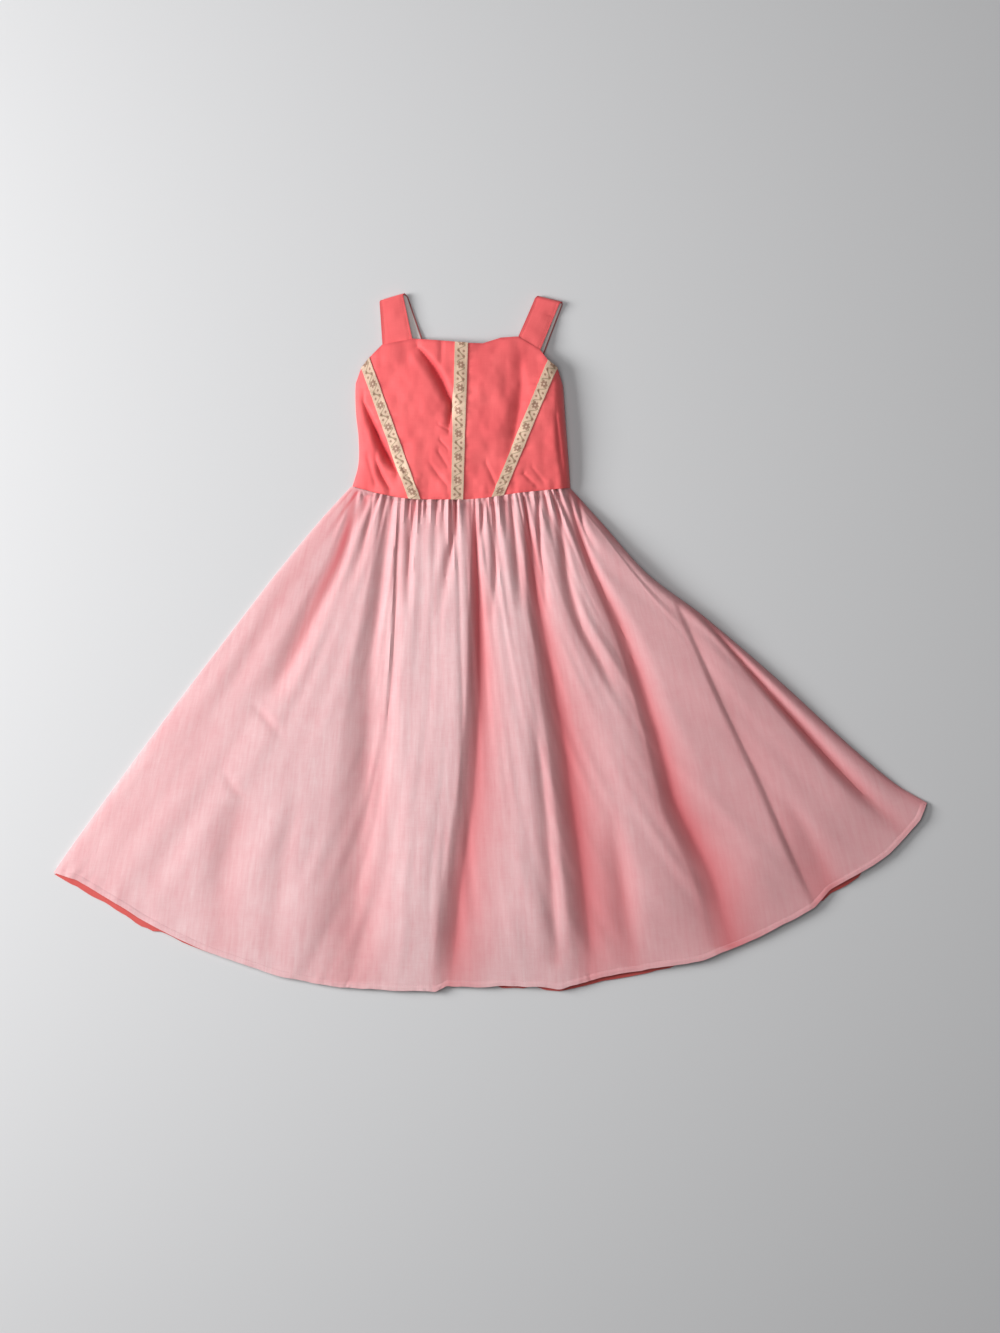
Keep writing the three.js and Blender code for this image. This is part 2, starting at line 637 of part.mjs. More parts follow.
/** Middle of the wall of the bodice's front. */
function bodiceHeight(x, y) {
  const [left, right] = [bodiceSide(BODICE_LEFT, y), bodiceSide(BODICE_RIGHT, y)];
  const up = clamp((y - BODICE_SIDES.bottom) / (BODICE_SIDES.top - BODICE_SIDES.bottom), 0, 1);
  const places = BODICE_LOFT.map((row) => row.up);
  const across = clamp((x - left) / (right - left), 0, 1);
  const loft = loftAt(BODICE_LOFT, up, places, BODICE_LOFT_ACROSS, across);
  const dip = SEAM_DIP.depth * Math.exp(-(((y - waistLine(x)) / SEAM_DIP.reach) ** 2));
  const open = loft - dip - foldsDepth(BODICE_FOLDS, x, y);
  const fromLeft = roundedEdge(open, x - left, BODICE_EDGE_ROUND.left);
  return Math.min(fromLeft, roundedEdge(open, right - x, BODICE_EDGE_ROUND.right));
}

/** The bodice's front, in rows from the top edge down to the waist seam, and each line's first column. */
function bodiceSheet() {
  const columns = [];
  const starts = {};
  BODICE_LINES.forEach((line, k) => {
    starts[line.name] = columns.length;
    const next = BODICE_LINES[Math.min(k + 1, BODICE_LINES.length - 1)];
    for (let c = 0; c < Math.max(1, line.cells); c += 1) {
      const share = line.cells ? c / line.cells : 0;
      columns.push({
        waist: mix(line.waist, next.waist, share),
        top: line.top.map((v, axis) => mix(v, next.top[axis], share)),
      });
    }
  });
  const straight = ({ waist, top }, down) => {
    const bottom = waistLine(waist) + SEAM_GAP / 2;
    return [mix(top[0], waist, down), mix(top[1], bottom, down)];
  };
  const sheet = steps(BODICE_ROWS).map((down) => {
    const [edgeX, edgeY] = straight(columns[0], down);
    const inward = bodiceSide(BODICE_LEFT, edgeY) - edgeX;
    return columns.map((column, k) => {
      const [lineX, y] = straight(column, down);
      let x = lineX + inward * Math.max(0, 1 - k / starts["left trim, outer edge"]);
      if (k === columns.length - 1) x = Math.max(x, bodiceSide(BODICE_RIGHT, y));
      return new THREE.Vector3(x, y, bodiceHeight(x, y));
    });
  });
  return { sheet, starts };
}

function bodiceFrontAndTrims() {
  const { sheet, starts } = bodiceSheet();
  const bands = {
    trim_left: ["left trim, outer edge", "left trim, inner edge"],
    trim_centre: ["centre trim, left edge", "centre trim, right edge"],
    trim_right: ["right trim, inner edge", "right trim, outer edge"],
  };
  const lift = WALL / 2 + SEAM_GAP + TRIM_WALL / 2;
  const trims = Object.entries(bands).map(([name, [from, to]]) => {
    const band = sheet.map((row) => row.slice(starts[from], starts[to] + 1));
    return piece(name, clothWall(band, TRIM_WALL, lift), COLOURS.trim, 0.6);
  });
  return [piece("bodice_front", clothWall(sheet, WALL), COLOURS.coral), ...trims];
}

/** One half of the bodice's back, flat on the surface: side is -1 for the left half and 1 for the right. */
function bodiceBackHalf(name, side, { seam, edge, underarm, shoulder, top }) {
  const { centre, inset, waistGap, edgeShares, cells } = BODICE_BACK;
  const seamX = centre + (side * SEAM_GAP) / 2;
  const sideX = seam.waist - side * inset;
  const waistPoint = (x) => [x, waistLine(x) + waistGap];
  const edgePoint = (share) => {
    const y = mix(waistLine(sideX), underarm[1], share);
    return [bodiceSide(edge, y) - side * inset, y];
  };
  const waist = steps(cells).map((share) => waistPoint(mix(seamX, sideX, share)));
  const corners = [...waist, ...edgeShares.map(edgePoint), underarm, shoulder, top, [seamX, top[1]]];
  const outline = new THREE.Shape(corners.map(([x, y]) => new THREE.Vector2(x, y)));
  const plate = new THREE.ExtrudeGeometry(outline, { depth: WALL, bevelEnabled: false });
  return piece(name, plate, COLOURS.coral);
}

/** A strap: sections from its back end up to the fold, round the turn and down to its front end. */
function strap(name, { frontBase, frontFold, backFold, backBase }) {
  const onSurface = STRAP_WALL / 2;
  const aboveTurn = onSurface + 2 * STRAP_TURN;
  const onBack = WALL + SEAM_GAP + STRAP_WALL / 2;
  const underFront = (x, y) => bodiceHeight(x, y) - (WALL + STRAP_WALL) / 2 - STRAP_CLEAR;
  const between = (from, to, share) =>
    from.map((corner, k) => corner.map((v, axis) => mix(v, to[k][axis], share)));
  const moved = (from, to, by) =>
    between(from, to, by / Math.hypot(to[0][0] - from[0][0], to[0][1] - from[0][1]));
  const backEnd = moved(backBase, backFold, -STRAP_TUCK);
  const frontEnd = moved(frontBase, frontFold, -STRAP_TUCK);
  const sections = [];
  const section = (pair, height) => {
    sections.push(pair.map(([x, y]) => new THREE.Vector3(x, y, height(x, y))));
  };
  for (const { up, rise } of STRAP_SECTIONS.back)
    section(between(backEnd, backFold, up), () => mix(onSurface, onBack, rise));
  for (const angle of STRAP_SECTIONS.turn) {
    const short = STRAP_TURN * (1 - Math.cos(radians(angle)));
    const turned = (1 + Math.sin(radians(angle))) / 2;
    const [back, front] = [moved(backFold, backBase, short), moved(frontFold, frontBase, short)];
    section(between(back, front, 0.5 + angle / 180), () => mix(onSurface, aboveTurn, turned));
  }
  for (const { down, rise } of STRAP_SECTIONS.front)
    section(between(frontFold, frontBase, down), (x, y) => mix(aboveTurn, underFront(x, y), rise));
  section(frontEnd, underFront);
  const sheet = sections.map(([left, right]) =>
    steps(STRAP_CELLS).map((share) => left.clone().lerp(right, share)),
  );
  return piece(name, clothWall(sheet, STRAP_WALL), COLOURS.coral);
}

const garment = new THREE.Group();
garment.add(skirtFront(), skirtLining(), skirtBack());
garment.add(...bodiceFrontAndTrims());
garment.add(
  bodiceBackHalf("bodice_back_left", -1, { seam: leftSeam, edge: BODICE_LEFT, ...BACK_HALVES.left }),
  bodiceBackHalf("bodice_back_right", 1, { seam: rightSeam, edge: BODICE_RIGHT, ...BACK_HALVES.right }),
);
garment.add(strap("strap_left", STRAPS.left), strap("strap_right", STRAPS.right));

// The part's origin is the middle of the garment's box, on the surface it lies on.
const box = new THREE.Box3().setFromObject(garment, true);
const middle = box.getCenter(new THREE.Vector3());
garment.position.set(-middle.x, -middle.y, -box.min.z);

const dress = new THREE.Group();
dress.add(garment);

export default dress;
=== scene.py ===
"""A girl's sleeveless dress, laid face up on a pale surface and seen from straight above.

The bodice is coral cotton with three bands of woven ribbon and two wide straps. The skirt is pink chambray,
gathered into the waist seam, with a coral lining that shows below its hem. Places on the panels are in
millimetres from the middle of the garment, as a maker would measure them on the table, with +X to the right
and +Y towards the straps; meshes are in metres.
"""

import logging
import math
from collections.abc import Sequence
from dataclasses import dataclass, field, replace
from enum import Enum

import bpy
import numpy as np
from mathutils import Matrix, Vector


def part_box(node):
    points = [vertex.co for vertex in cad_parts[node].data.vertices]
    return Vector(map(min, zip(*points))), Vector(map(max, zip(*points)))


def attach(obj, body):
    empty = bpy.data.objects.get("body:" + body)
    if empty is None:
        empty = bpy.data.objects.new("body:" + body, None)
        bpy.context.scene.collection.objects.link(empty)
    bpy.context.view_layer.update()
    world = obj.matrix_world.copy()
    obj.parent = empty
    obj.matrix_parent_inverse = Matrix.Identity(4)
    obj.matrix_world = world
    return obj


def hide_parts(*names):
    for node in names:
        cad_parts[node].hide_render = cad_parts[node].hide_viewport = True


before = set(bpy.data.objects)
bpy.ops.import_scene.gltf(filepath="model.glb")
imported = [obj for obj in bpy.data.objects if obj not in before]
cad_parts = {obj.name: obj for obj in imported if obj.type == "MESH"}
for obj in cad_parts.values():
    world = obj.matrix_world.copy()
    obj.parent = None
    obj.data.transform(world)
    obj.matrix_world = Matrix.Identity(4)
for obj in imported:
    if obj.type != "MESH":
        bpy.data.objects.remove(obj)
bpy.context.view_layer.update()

Array = np.ndarray
Colour = tuple[float, float, float]
Point = tuple[float, float]

MM = 0.001
WALL = 1.2  # skirt and bodice cloth
LINING_WALL = 1.0
TRIM_WALL = 1.0
STRAP_WALL = 2.0
SEAM_GAP = 0.3
BACK_MIDDLE = WALL / 2
LINING_MIDDLE = WALL + SEAM_GAP + LINING_WALL / 2
SIDE_SEAM_HEIGHT = WALL + SEAM_GAP + WALL / 2

LOG = logging.getLogger("dress")


class Slot(Enum):
    """The garment's material slots."""

    SKIRT = "skirt"
    LINING = "lining"
    BODICE = "bodice"
    TRIM = "trim"


def curve_at(places: Sequence[float], values: Sequence[float], at: Array | float) -> Array:
    """Reads a smooth curve through values at places.

    Args:
        places: where the values lie, ascending.
        values: the curve's value at each place.
        at: where to read it; past the ends it keeps the end's value.

    Returns:
        The curve's value at each of at.
    """
    places = np.asarray(places, float)
    values = np.asarray(values, float)
    at = np.clip(at, places[0], places[-1])
    span = np.diff(places)
    slopes = np.empty(len(places))
    slopes[0] = (values[1] - values[0]) / span[0]
    slopes[-1] = (values[-1] - values[-2]) / span[-1]
    slopes[1:-1] = (values[2:] - values[:-2]) / (places[2:] - places[:-2])
    k = np.clip(np.searchsorted(places, at, side="right") - 1, 0, len(places) - 2)
    t = (at - places[k]) / span[k]
    start = (2 * t**3 - 3 * t**2 + 1) * values[k] + (t**3 - 2 * t**2 + t) * span[k] * slopes[k]
    end = (3 * t**2 - 2 * t**3) * values[k + 1] + (t**3 - t**2) * span[k] * slopes[k + 1]
    return start + end


def loft_at(
    rows: dict[float, Sequence[float]], across_places: Sequence[float], along: Array, across: Array
) -> Array:
    """Reads a table of heights across and along a panel.

    Args:
        rows: heights across the panel, by their place along it.
        across_places: where the heights of a row lie.
        along: place along the panel of each point.
        across: place across the panel of each point.

    Returns:
        The height at each point.
    """
    heights = np.array(list(rows.values()), float)
    along_share = [curve_at(list(rows), unit, along) for unit in np.eye(len(rows))]
    across_share = [curve_at(across_places, unit, across) for unit in np.eye(len(across_places))]
    return np.einsum("k...,m...,km->...", along_share, across_share, heights)


def mix(a: Array | float, b: Array | float, share: Array | float) -> Array:
    """A value between a and b."""
    return a + (b - a) * share


def smooth(low: float, high: float, at: Array) -> Array:
    """A soft step from 0 at low to 1 at high."""
    t = np.clip((at - low) / (high - low), 0, 1)
    return t * t * (3 - 2 * t)


class Ripples:
    """Soft random values over a plane, the same each run."""

    def __init__(self, seed: int, size: int = 97) -> None:
        """Draws the lattice that the values lie on."""
        self.size = size
        self.lattice = np.random.default_rng(seed).uniform(-1, 1, (size, size))

    def at(self, u: Array, v: Array) -> Array:
        """Reads the ripples.

        Args:
            u: place across, in cells of the lattice.
            v: place along, in cells of the lattice.

        Returns:
            Values from -1 to 1.
        """
        column, row = np.floor(u).astype(int), np.floor(v).astype(int)
        s, t = smooth(0, 1, u - column), smooth(0, 1, v - row)
        corner = [
            self.lattice[(row + down) % self.size, (column + right) % self.size]
            for down in (0, 1)
            for right in (0, 1)
        ]
        return mix(mix(corner[0], corner[1], s), mix(corner[2], corner[3], s), t)


@dataclass(frozen=True)
class Fold:
    """A trough that runs down a panel, or a ridge where its depth is negative.

    x and y are its places from top to end. depth, left and right are its depth and the widths of its two
    sides there. bottom is the share of a side that is round below its slope, and power how fast the slope
    levels out. Past its ends it fades out over the length fade. Its last field is the share of its depth that
    is painted into the colour as shade.
    """

    x: Sequence[float]
    y: Sequence[float]
    depth: Sequence[float]
    left: Sequence[float]
    right: Sequence[float]
    bottom: float = 0.14
    power: float = 2.0
    fade: float = 26
    shade_share: float = 1.0

    def shade_spread(self, factor: float, further: float) -> "Fold":
        """The fold's painted shade: wider than the fold, most on its left, with its depth scaled by its shade
        share.
        """
        depth = [self.shade_share * value for value in self.depth]
        left = [factor * width + further for width in self.left]
        return replace(self, depth=depth, left=left, right=[factor * width for width in self.right])

    def read(self, values: Sequence[float], y: Array) -> Array:
        """One of the fold's values at each height y."""
        return curve_at([-place for place in self.y], values, -y)

    def away(self, x: Array, y: Array) -> Array:
        """Distance from the fold's line, negative on its left."""
        step = 4.0
        slope = (self.read(self.x, y - step) - self.read(self.x, y + step)) / (2 * step)
        return (x - self.read(self.x, y)) / np.hypot(1, slope)

    def at(self, x: Array, y: Array) -> Array:
        """The fold's depth at each point."""
        away = self.away(x, y)
        width = np.where(away < 0, self.read(self.left, y), self.read(self.right, y))
        shape = np.hypot(np.abs(away) / np.maximum(width, 1), self.bottom) - self.bottom
        past = np.clip(np.maximum(y - self.y[0], self.y[-1] - y) / self.fade, 0, 1)
        return self.read(self.depth, y) * (1 - past) ** 2 * np.clip(1 - shape, 0, 1) ** self.power


def folds_depth(folds: Sequence[Fold], x: Array, y: Array) -> Array:
    """The depth of all the folds together at each point."""
    return sum(fold.at(x, y) for fold in folds)


def rounded_edge(height: Array, from_edge: Array, reach: float) -> Array:
    """A panel's height, rounded down to the side seam over its last stretch."""
    share = np.clip(from_edge / reach, 0, 1)
    return mix(SIDE_SEAM_HEIGHT, height, np.sqrt(1 - (1 - share) ** 2))


def link(piece: bpy.types.Object) -> bpy.types.Object:
    """Puts a new object in the scene, selected alone."""
    if piece.name not in bpy.context.scene.collection.objects:
        bpy.context.scene.collection.objects.link(piece)
    bpy.ops.object.select_all(action="DESELECT")
    piece.select_set(True)
    bpy.context.view_layer.objects.active = piece
    return piece


@dataclass
class Sheet:
    """Points of a cloth panel in millimetres: rows run down it and columns to the right.

    uv holds each point's place on the cut cloth. values holds what its finish reads, by name.
    """

    points: Array
    uv: Array
    values: dict[str, Array] = field(default_factory=dict)

    def normals(self) -> Array:
        """Unit normals at the points."""
        across = np.gradient(self.points, axis=1)
        along = np.gradient(self.points, axis=0)
        normal = np.cross(along, across)
        return normal / np.linalg.norm(normal, axis=2, keepdims=True)

    def lifted(self, distance: float | Array) -> "Sheet":
        """The sheet moved out along its normals."""
        move = self.normals() * np.asarray(distance, float)[..., None]
        return Sheet(self.points + move, self.uv, self.values)

    def part(self, columns: slice) -> "Sheet":
        """Some columns of the sheet."""
        values = {name: value[:, columns] for name, value in self.values.items()}
        return Sheet(self.points[:, columns], self.uv[:, columns], values)

    def build(self, name: str, wall: float, finishes: Sequence[bpy.types.Material]) -> bpy.types.Object:
        """Makes a closed wall of cloth around the sheet.

        Args:
            name: the piece's name.
            wall: its thickness in millimetres.
            finishes: its outer finish, and its inner one if that differs.

        Returns:
            The new object.
        """
        rows, columns = self.points.shape[:2]
        index = np.arange(rows * columns).reshape(rows, columns)
        corners = [index[:-1, :-1], index[1:, :-1], index[1:, 1:], index[:-1, 1:]]
        quads = np.stack(corners, axis=-1).reshape(-1, 4)
        mesh = bpy.data.meshes.new(name)
        mesh.from_pydata((self.points.reshape(-1, 3) * MM).tolist(), [], quads.tolist())
        uv = (self.uv.reshape(-1, 2) * MM)[quads.ravel()]
        mesh.uv_layers.new(name="cloth").data.foreach_set("uv", uv.ravel())
        for key, value in self.values.items():
            mesh.attributes.new(key, "FLOAT", "POINT").data.foreach_set("value", value.ravel())
        for finish in finishes:
            mesh.materials.append(finish)
        piece = link(bpy.data.objects.new(name, mesh))
        solid = piece.modifiers.new("wall", "SOLIDIFY")
        solid.thickness = wall * MM
        solid.offset = 0
        solid.material_offset = len(finishes) - 1
        bpy.ops.object.modifier_apply(modifier=solid.name)
        bpy.ops.object.shade_smooth_by_angle(angle=math.radians(40))
        return piece


Number = "Term | float"


@dataclass(frozen=True)
class Term:
    """A number that varies over a surface: an output socket with the arithmetic that adds Math nodes."""

    shader: "Shader"
    socket: bpy.types.NodeSocket

    def __add__(self, other: Number) -> "Term":
        """Sum."""
        return self.shader.maths("ADD", self, other)

    def __sub__(self, other: Number) -> "Term":
        """Difference."""
        return self.shader.maths("SUBTRACT", self, other)

    def __rsub__(self, other: Number) -> "Term":
        """Difference, with the number first."""
        return self.shader.maths("SUBTRACT", other, self)

    def __mul__(self, other: Number) -> "Term":
        """Product."""
        return self.shader.maths("MULTIPLY", self, other)

    def __truediv__(self, other: Number) -> "Term":
        """Quotient."""
        return self.shader.maths("DIVIDE", self, other)

    def __pow__(self, other: Number) -> "Term":
        """Power."""
        return self.shader.maths("POWER", self, other)

    __radd__ = __add__
    __rmul__ = __mul__

    def clamped(self) -> "Term":
        """The value kept from 0 to 1."""
        return self.shader.maths("ADD", self, 0.0, use_clamp=True)

    def above(self, edge: float, softness: float) -> "Term":
        """0 below an edge and 1 above it, with a soft step."""
        return ((self - (edge - softness / 2)) / softness).clamped()


class Shader:
    """A material's node tree, built by expressions."""

    def __init__(self, name: str) -> None:
        """Starts a material with an empty tree."""
        self.material = bpy.data.materials.new(name)
        self.material.use_nodes = True
        self.tree = self.material.node_tree
        self.tree.nodes.clear()

    def node(self, kind: str, settings: dict[str, object], inputs: dict[str | int, object]) -> bpy.types.Node:
        """Adds a node.

        Args:
            kind: the node's type.
            settings: its properties, set first.
            inputs: values, terms or sockets of its inputs, by name or number.

        Returns:
            The node.
        """
        made = self.tree.nodes.new(kind)
        for key, value in settings.items():
            setattr(made, key, value)
        for key, value in inputs.items():
            if isinstance(value, Term):
                value = value.socket
            if isinstance(value, bpy.types.NodeSocket):
                self.tree.links.new(value, made.inputs[key])
            else:
                made.inputs[key].default_value = value
        return made

    def maths(self, operation: str, *values: Number, use_clamp: bool = False) -> Term:
        """Adds a Math node on one to three values."""
        settings = {"operation": operation, "use_clamp": use_clamp}
        made = self.node("ShaderNodeMath", settings, dict(enumerate(values)))
        return Term(self, made.outputs[0])

    def place(self) -> tuple[Term, Term]:
        """The cloth's two coordinates, in millimetres on the cut."""
        uv = self.node("ShaderNodeUVMap", {"uv_map": "cloth"}, {})
        parts = self.node("ShaderNodeSeparateXYZ", {}, {0: uv.outputs[0]})
        return Term(self, parts.outputs[0]) * (1 / MM), Term(self, parts.outputs[1]) * (1 / MM)

    def value(self, name: str) -> Term:
        """A value that the mesh carries."""
        made = self.node("ShaderNodeAttribute", {"attribute_name": name}, {})
        return Term(self, made.outputs["Fac"])

    def noise(self, u: Number, v: Number, detail: float = 2.0, seed: float = 0.0) -> Term:
        """Soft noise with cells one unit wide, from about 0.3 to 0.7."""
        place = self.node("ShaderNodeCombineXYZ", {}, {0: u, 1: v, 2: seed})
        inputs = {"Vector": place.outputs[0], "Scale": 1.0, "Detail": detail}
        made = self.node("ShaderNodeTexNoise", {"noise_dimensions": "3D"}, inputs)
        return Term(self, made.outputs["Fac"])

    def blend(self, first: object, second: object, share: Number, mode: str = "MIX") -> bpy.types.NodeSocket:
        """Mixes two colours."""
        settings = {"data_type": "RGBA", "blend_type": mode}
        colours = [(*c, 1.0) if isinstance(c, tuple) else c for c in (first, second)]
        made = self.node("ShaderNodeMix", settings, {0: share, 6: colours[0], 7: colours[1]})
        return made.outputs[2]

    def bump(self, height: Term, distance: float, below: object = None) -> bpy.types.NodeSocket:
        """A Bump node: height in units of distance, in millimetres."""
        inputs = {"Height": height, "Distance": distance * MM, "Strength": 1.0}
        if below is not None:
            inputs["Normal"] = below
        return self.node("ShaderNodeBump", {}, inputs).outputs[0]

    def finish(self, inputs: dict[str, object]) -> bpy.types.Material:
        """Closes the tree with a Principled surface."""
        surface = self.node("ShaderNodeBsdfPrincipled", {}, inputs)
        self.node("ShaderNodeOutputMaterial", {}, {0: surface.outputs[0]})
        return self.material


def weave(shader: Shader, u: Term, v: Term, pitch: float) -> Term:
    """Height of a plain weave.

    Args:
        shader: the tree that it is added to.
        u: place across the cloth, in millimetres.
        v: place along the cloth.
        pitch: distance from thread to thread.

    Returns:
        The height, from -1 to 1, with warp and weft threads up in turn.
    """
    turn = math.pi / pitch
    return shader.maths("SINE", u * turn) * shader.maths("SINE", v * turn)


@dataclass(frozen=True)
class Chambray:
    """Plain-woven cotton with a pink warp and a white weft: pale streaks run along it."""

    name: str = "chambray"
    pale: Colour = (0.81, 0.58, 0.585)
    pink: Colour = (0.71, 0.365, 0.385)
    warm: Colour = (0.74, 0.27, 0.29)
    # The colour of painted shade, which the cloth turns to in its folds and creases where shade falls.
    shade_colour: Colour = (0.63, 0.115, 0.13)
    pitch: float = 0.55

    def build(self) -> bpy.types.Material:
        """Makes the material."""
        shader = Shader(self.name)
        u, v = shader.place()
        threads = shader.noise(u / 1.3, v / 16, 3, 0.3)
        streaks = shader.noise(u / 4.5, v / 70, 3, 4.1)
        weft = shader.noise(u / 14, v / 1.2, 2, 7.7)
        mottle = shader.noise(u / 22, v / 30, 3, 2.4)
        lightness = threads * 0.6 + streaks * 0.8 + weft * 0.45 + mottle * 0.6 - 0.72
        colour = shader.blend(self.pink, self.pale, lightness.clamped())
        colour = shader.blend(colour, self.warm, shader.value("warmth") * 0.45)
        # Painted shade: the colour darkens towards the shade colour in folds, furrows and along edges, as the
        # mesh marks it.
        colour = shader.blend(colour, self.shade_colour, (shader.value("painted_shade") * 0.95).clamped())
        cloth = weave(shader, u, v, self.pitch) * 0.6 + threads
        return shader.finish(
            {
                "Base Color": colour,
                "Roughness": 0.86,
                "Specular IOR Level": 0.25,
                "Sheen Weight": 0.2,
                "Sheen Roughness": 0.5,
                "Normal": shader.bump(cloth, 0.12),
            }
        )


@dataclass(frozen=True)
class CoralCotton:
    """Close-woven coral cotton. gloss is its sheen, from 0 to 1."""

    name: str
    light: Colour = (0.90, 0.155, 0.155)
    dark: Colour = (0.80, 0.095, 0.105)
    # The colour of painted shade, which the cloth turns to in its folds and along its seams where shade
    # falls.
    shade_colour: Colour = (0.45, 0.02, 0.03)
    gloss: float = 0.5
    pitch: float = 0.4

    def build(self) -> bpy.types.Material:
        """Makes the material."""
        shader = Shader(self.name)
        u, v = shader.place()
        slubs = shader.noise(u / 14, v / 0.9, 2, 1.7)
        warp = shader.noise(u / 0.9, v / 22, 2, 3.2)
        patches = shader.noise(u / 38, v / 45, 2, 9.4)
        lightness = slubs * 0.5 + warp * 0.5 + patches * 0.9 - 0.45
        colour = shader.blend(self.dark, self.light, lightness.clamped())
        # Painted shade: darker in folds, along seams and at the straps' edges and fold, as the mesh marks it.
        colour = shader.blend(colour, self.shade_colour, (shader.value("painted_shade") * 0.8).clamped())
        cloth = weave(shader, u, v, self.pitch) * 0.5 + warp * 0.6 + slubs * 0.5
        return shader.finish(
            {
                "Base Color": colour,
                "Roughness": 0.78 - 0.25 * self.gloss,
                "Specular IOR Level": 0.2 + 0.3 * self.gloss,
                "Sheen Weight": 0.15 + 0.2 * self.gloss,
                "Sheen Roughness": 0.4,
                "Normal": shader.bump(cloth, 0.08),
            }
        )


@dataclass(frozen=True)
class JacquardRibbon:
    """Woven ribbon: a cream and gold ground with small brown scrolls and flowers, and plain edges.

    Its coordinates run across the ribbon from its middle, and along it. swing and edge are shares of its
    width: how far the vine swings, and where the plain edges start. The rest is in millimetres.
    """

    name: str = "jacquard_ribbon"
    cream: Colour = (0.70, 0.51, 0.38)
    gold: Colour = (0.60, 0.38, 0.22)
    scroll: Colour = (0.26, 0.12, 0.075)
    leaf: Colour = (0.24, 0.17, 0.085)
    width: float = 16.5
    repeat: float = 30.0
    swing: float = 0.27
    edge: float = 0.41
    vine: float = 0.95
    curl: float = 0.9
    eye: float = 1.2
    bud: float = 1.6
    bud_place: Point = (3.4, 3.6)
    scroll_reach: float = 6.6
    soft: float = 0.8

    def build(self) -> bpy.types.Material:
        """Makes the material."""
        shader = Shader(self.name)
        u, v = shader.place()
        turn = 2 * math.pi / self.repeat
        absolute = "ABSOLUTE"
        from_flower = shader.maths("PINGPONG", v, self.repeat / 2)
        from_scroll = self.repeat / 2 - from_flower
        distance = shader.maths("SQRT", u**2 + from_flower**2)
        angle = shader.maths("ARCTAN2", from_flower, u)
        petals = shader.maths(absolute, shader.maths("COSINE", angle * 3.0)) * 2.2 + 2.9
        flower = 1 - (distance - petals).above(0.0, 0.9)
        eye = 1 - distance.above(self.eye, 0.7)
        swing = shader.maths("SINE", v * turn) * (self.swing * self.width)
        sway = shader.maths("SINE", v * (2 * turn)) * (self.swing * self.width)
        vine = 1 - shader.maths(absolute, u - sway).above(self.vine, self.soft)
        near_scroll = 1 - from_scroll.above(self.scroll_reach, 1.2)
        curl = (1 - shader.maths(absolute, u + swing * 0.9).above(self.curl, self.soft)) * near_scroll
        bud_u, bud_v = shader.maths(absolute, u) - self.bud_place[0], from_scroll - self.bud_place[1]
        bud = 1 - shader.maths("SQRT", bud_u**2 + bud_v**2).above(self.bud, self.soft)
        edge = shader.maths(absolute, u).above(self.edge * self.width, 0.6)
        inside = 1 - edge
        twill = shader.maths("SINE", (u + v) * (2 * math.pi / 1.1))
        speck = shader.noise(u / 0.8, v / 0.8, 2, 2.2)
        ground = shader.blend(self.cream, self.gold, (speck * 1.6 - 0.55 + twill * 0.08).clamped())
        leaves = shader.maths("MAXIMUM", vine, curl) * inside * 0.7
        flowers = shader.maths("MAXIMUM", flower, bud) * inside * 0.8
        pattern = shader.blend(ground, self.leaf, leaves.clamped())
        pattern = shader.blend(pattern, self.scroll, flowers.clamped())
        pattern = shader.blend(pattern, self.cream, (eye * inside).clamped())
        selvedge = shader.blend(pattern, self.cream, edge * 0.7)
        relief = shader.maths("MAXIMUM", flower, vine) * inside * 1.2 + twill * 0.3 + speck * 0.6
        return shader.finish(
            {
                "Base Color": selvedge,
                "Roughness": 0.55,
                "Specular IOR Level": 0.45,
                "Sheen Weight": 0.15,
                "Normal": shader.bump(relief, 0.16),
            }
        )


@dataclass(frozen=True)
class StrapFacing:
    """The straps' inner face: natural cotton, with the coral cloth turned in at its two edges and painted
    dark there as shade.

    Its first coordinate runs across the strap from its middle.
    """

    name: str = "strap_facing"
    natural: Colour = (0.74, 0.66, 0.63)
    pale: Colour = (0.84, 0.78, 0.76)
    # The coral turned in at the edges, painted much darker than the coral as shade along the edge.
    turned: Colour = (0.36, 0.07, 0.07)
    half_width: float = 15.0
    margin: float = 1.4

    def build(self) -> bpy.types.Material:
        """Makes the material."""
        shader = Shader(self.name)
        u, v = shader.place()
        edge = shader.value("edge").above(1 - self.margin / self.half_width, 0.06)
        speck = shader.noise(u / 0.9, v / 0.9, 3, 5.0)
        colour = shader.blend(self.natural, self.pale, (speck * 2 - 0.5).clamped())
        # Painted shade: the margins take the dark turned-edge colour.
        colour = shader.blend(colour, self.turned, edge)
        relief = weave(shader, u, v, 0.5) + speck
        inputs = {"Base Color": colour, "Roughness": 0.85, "Sheen Weight": 0.15}
        return shader.finish({**inputs, "Normal": shader.bump(relief, 0.1)})


@dataclass(frozen=True)
class Thread:
    """Spun sewing thread in one colour."""

    name: str
    colour: Colour

    def build(self) -> bpy.types.Material:
        """Makes the material."""
        shader = Shader(self.name)
        where = shader.node("ShaderNodeTexCoord", {}, {}).outputs["Object"]
        inputs = {"Vector": where, "Scale": 900.0, "Detail": 2.0}
        fuzz = Term(shader, shader.node("ShaderNodeTexNoise", {}, inputs).outputs["Fac"])
        darker = tuple(0.7 * part for part in self.colour)
        colour = shader.blend(darker, self.colour, (fuzz * 2 - 0.4).clamped())
        normal = shader.bump(fuzz, 0.05)
        return shader.finish({"Base Color": colour, "Roughness": 0.6, "Sheen Weight": 0.3, "Normal": normal})


@dataclass(frozen=True)
class PanelLine:
    """A line down the skirt's front, which its columns follow.

    waist is its x at the waist, hem its angle from straight down at the hem, and bend how far it lies to the
    right of straight at a quarter, a half and three quarters of the way down. cells run to the next line.
    """

    waist: float
    hem: float
    bend: tuple[float, float, float]
    cells: int


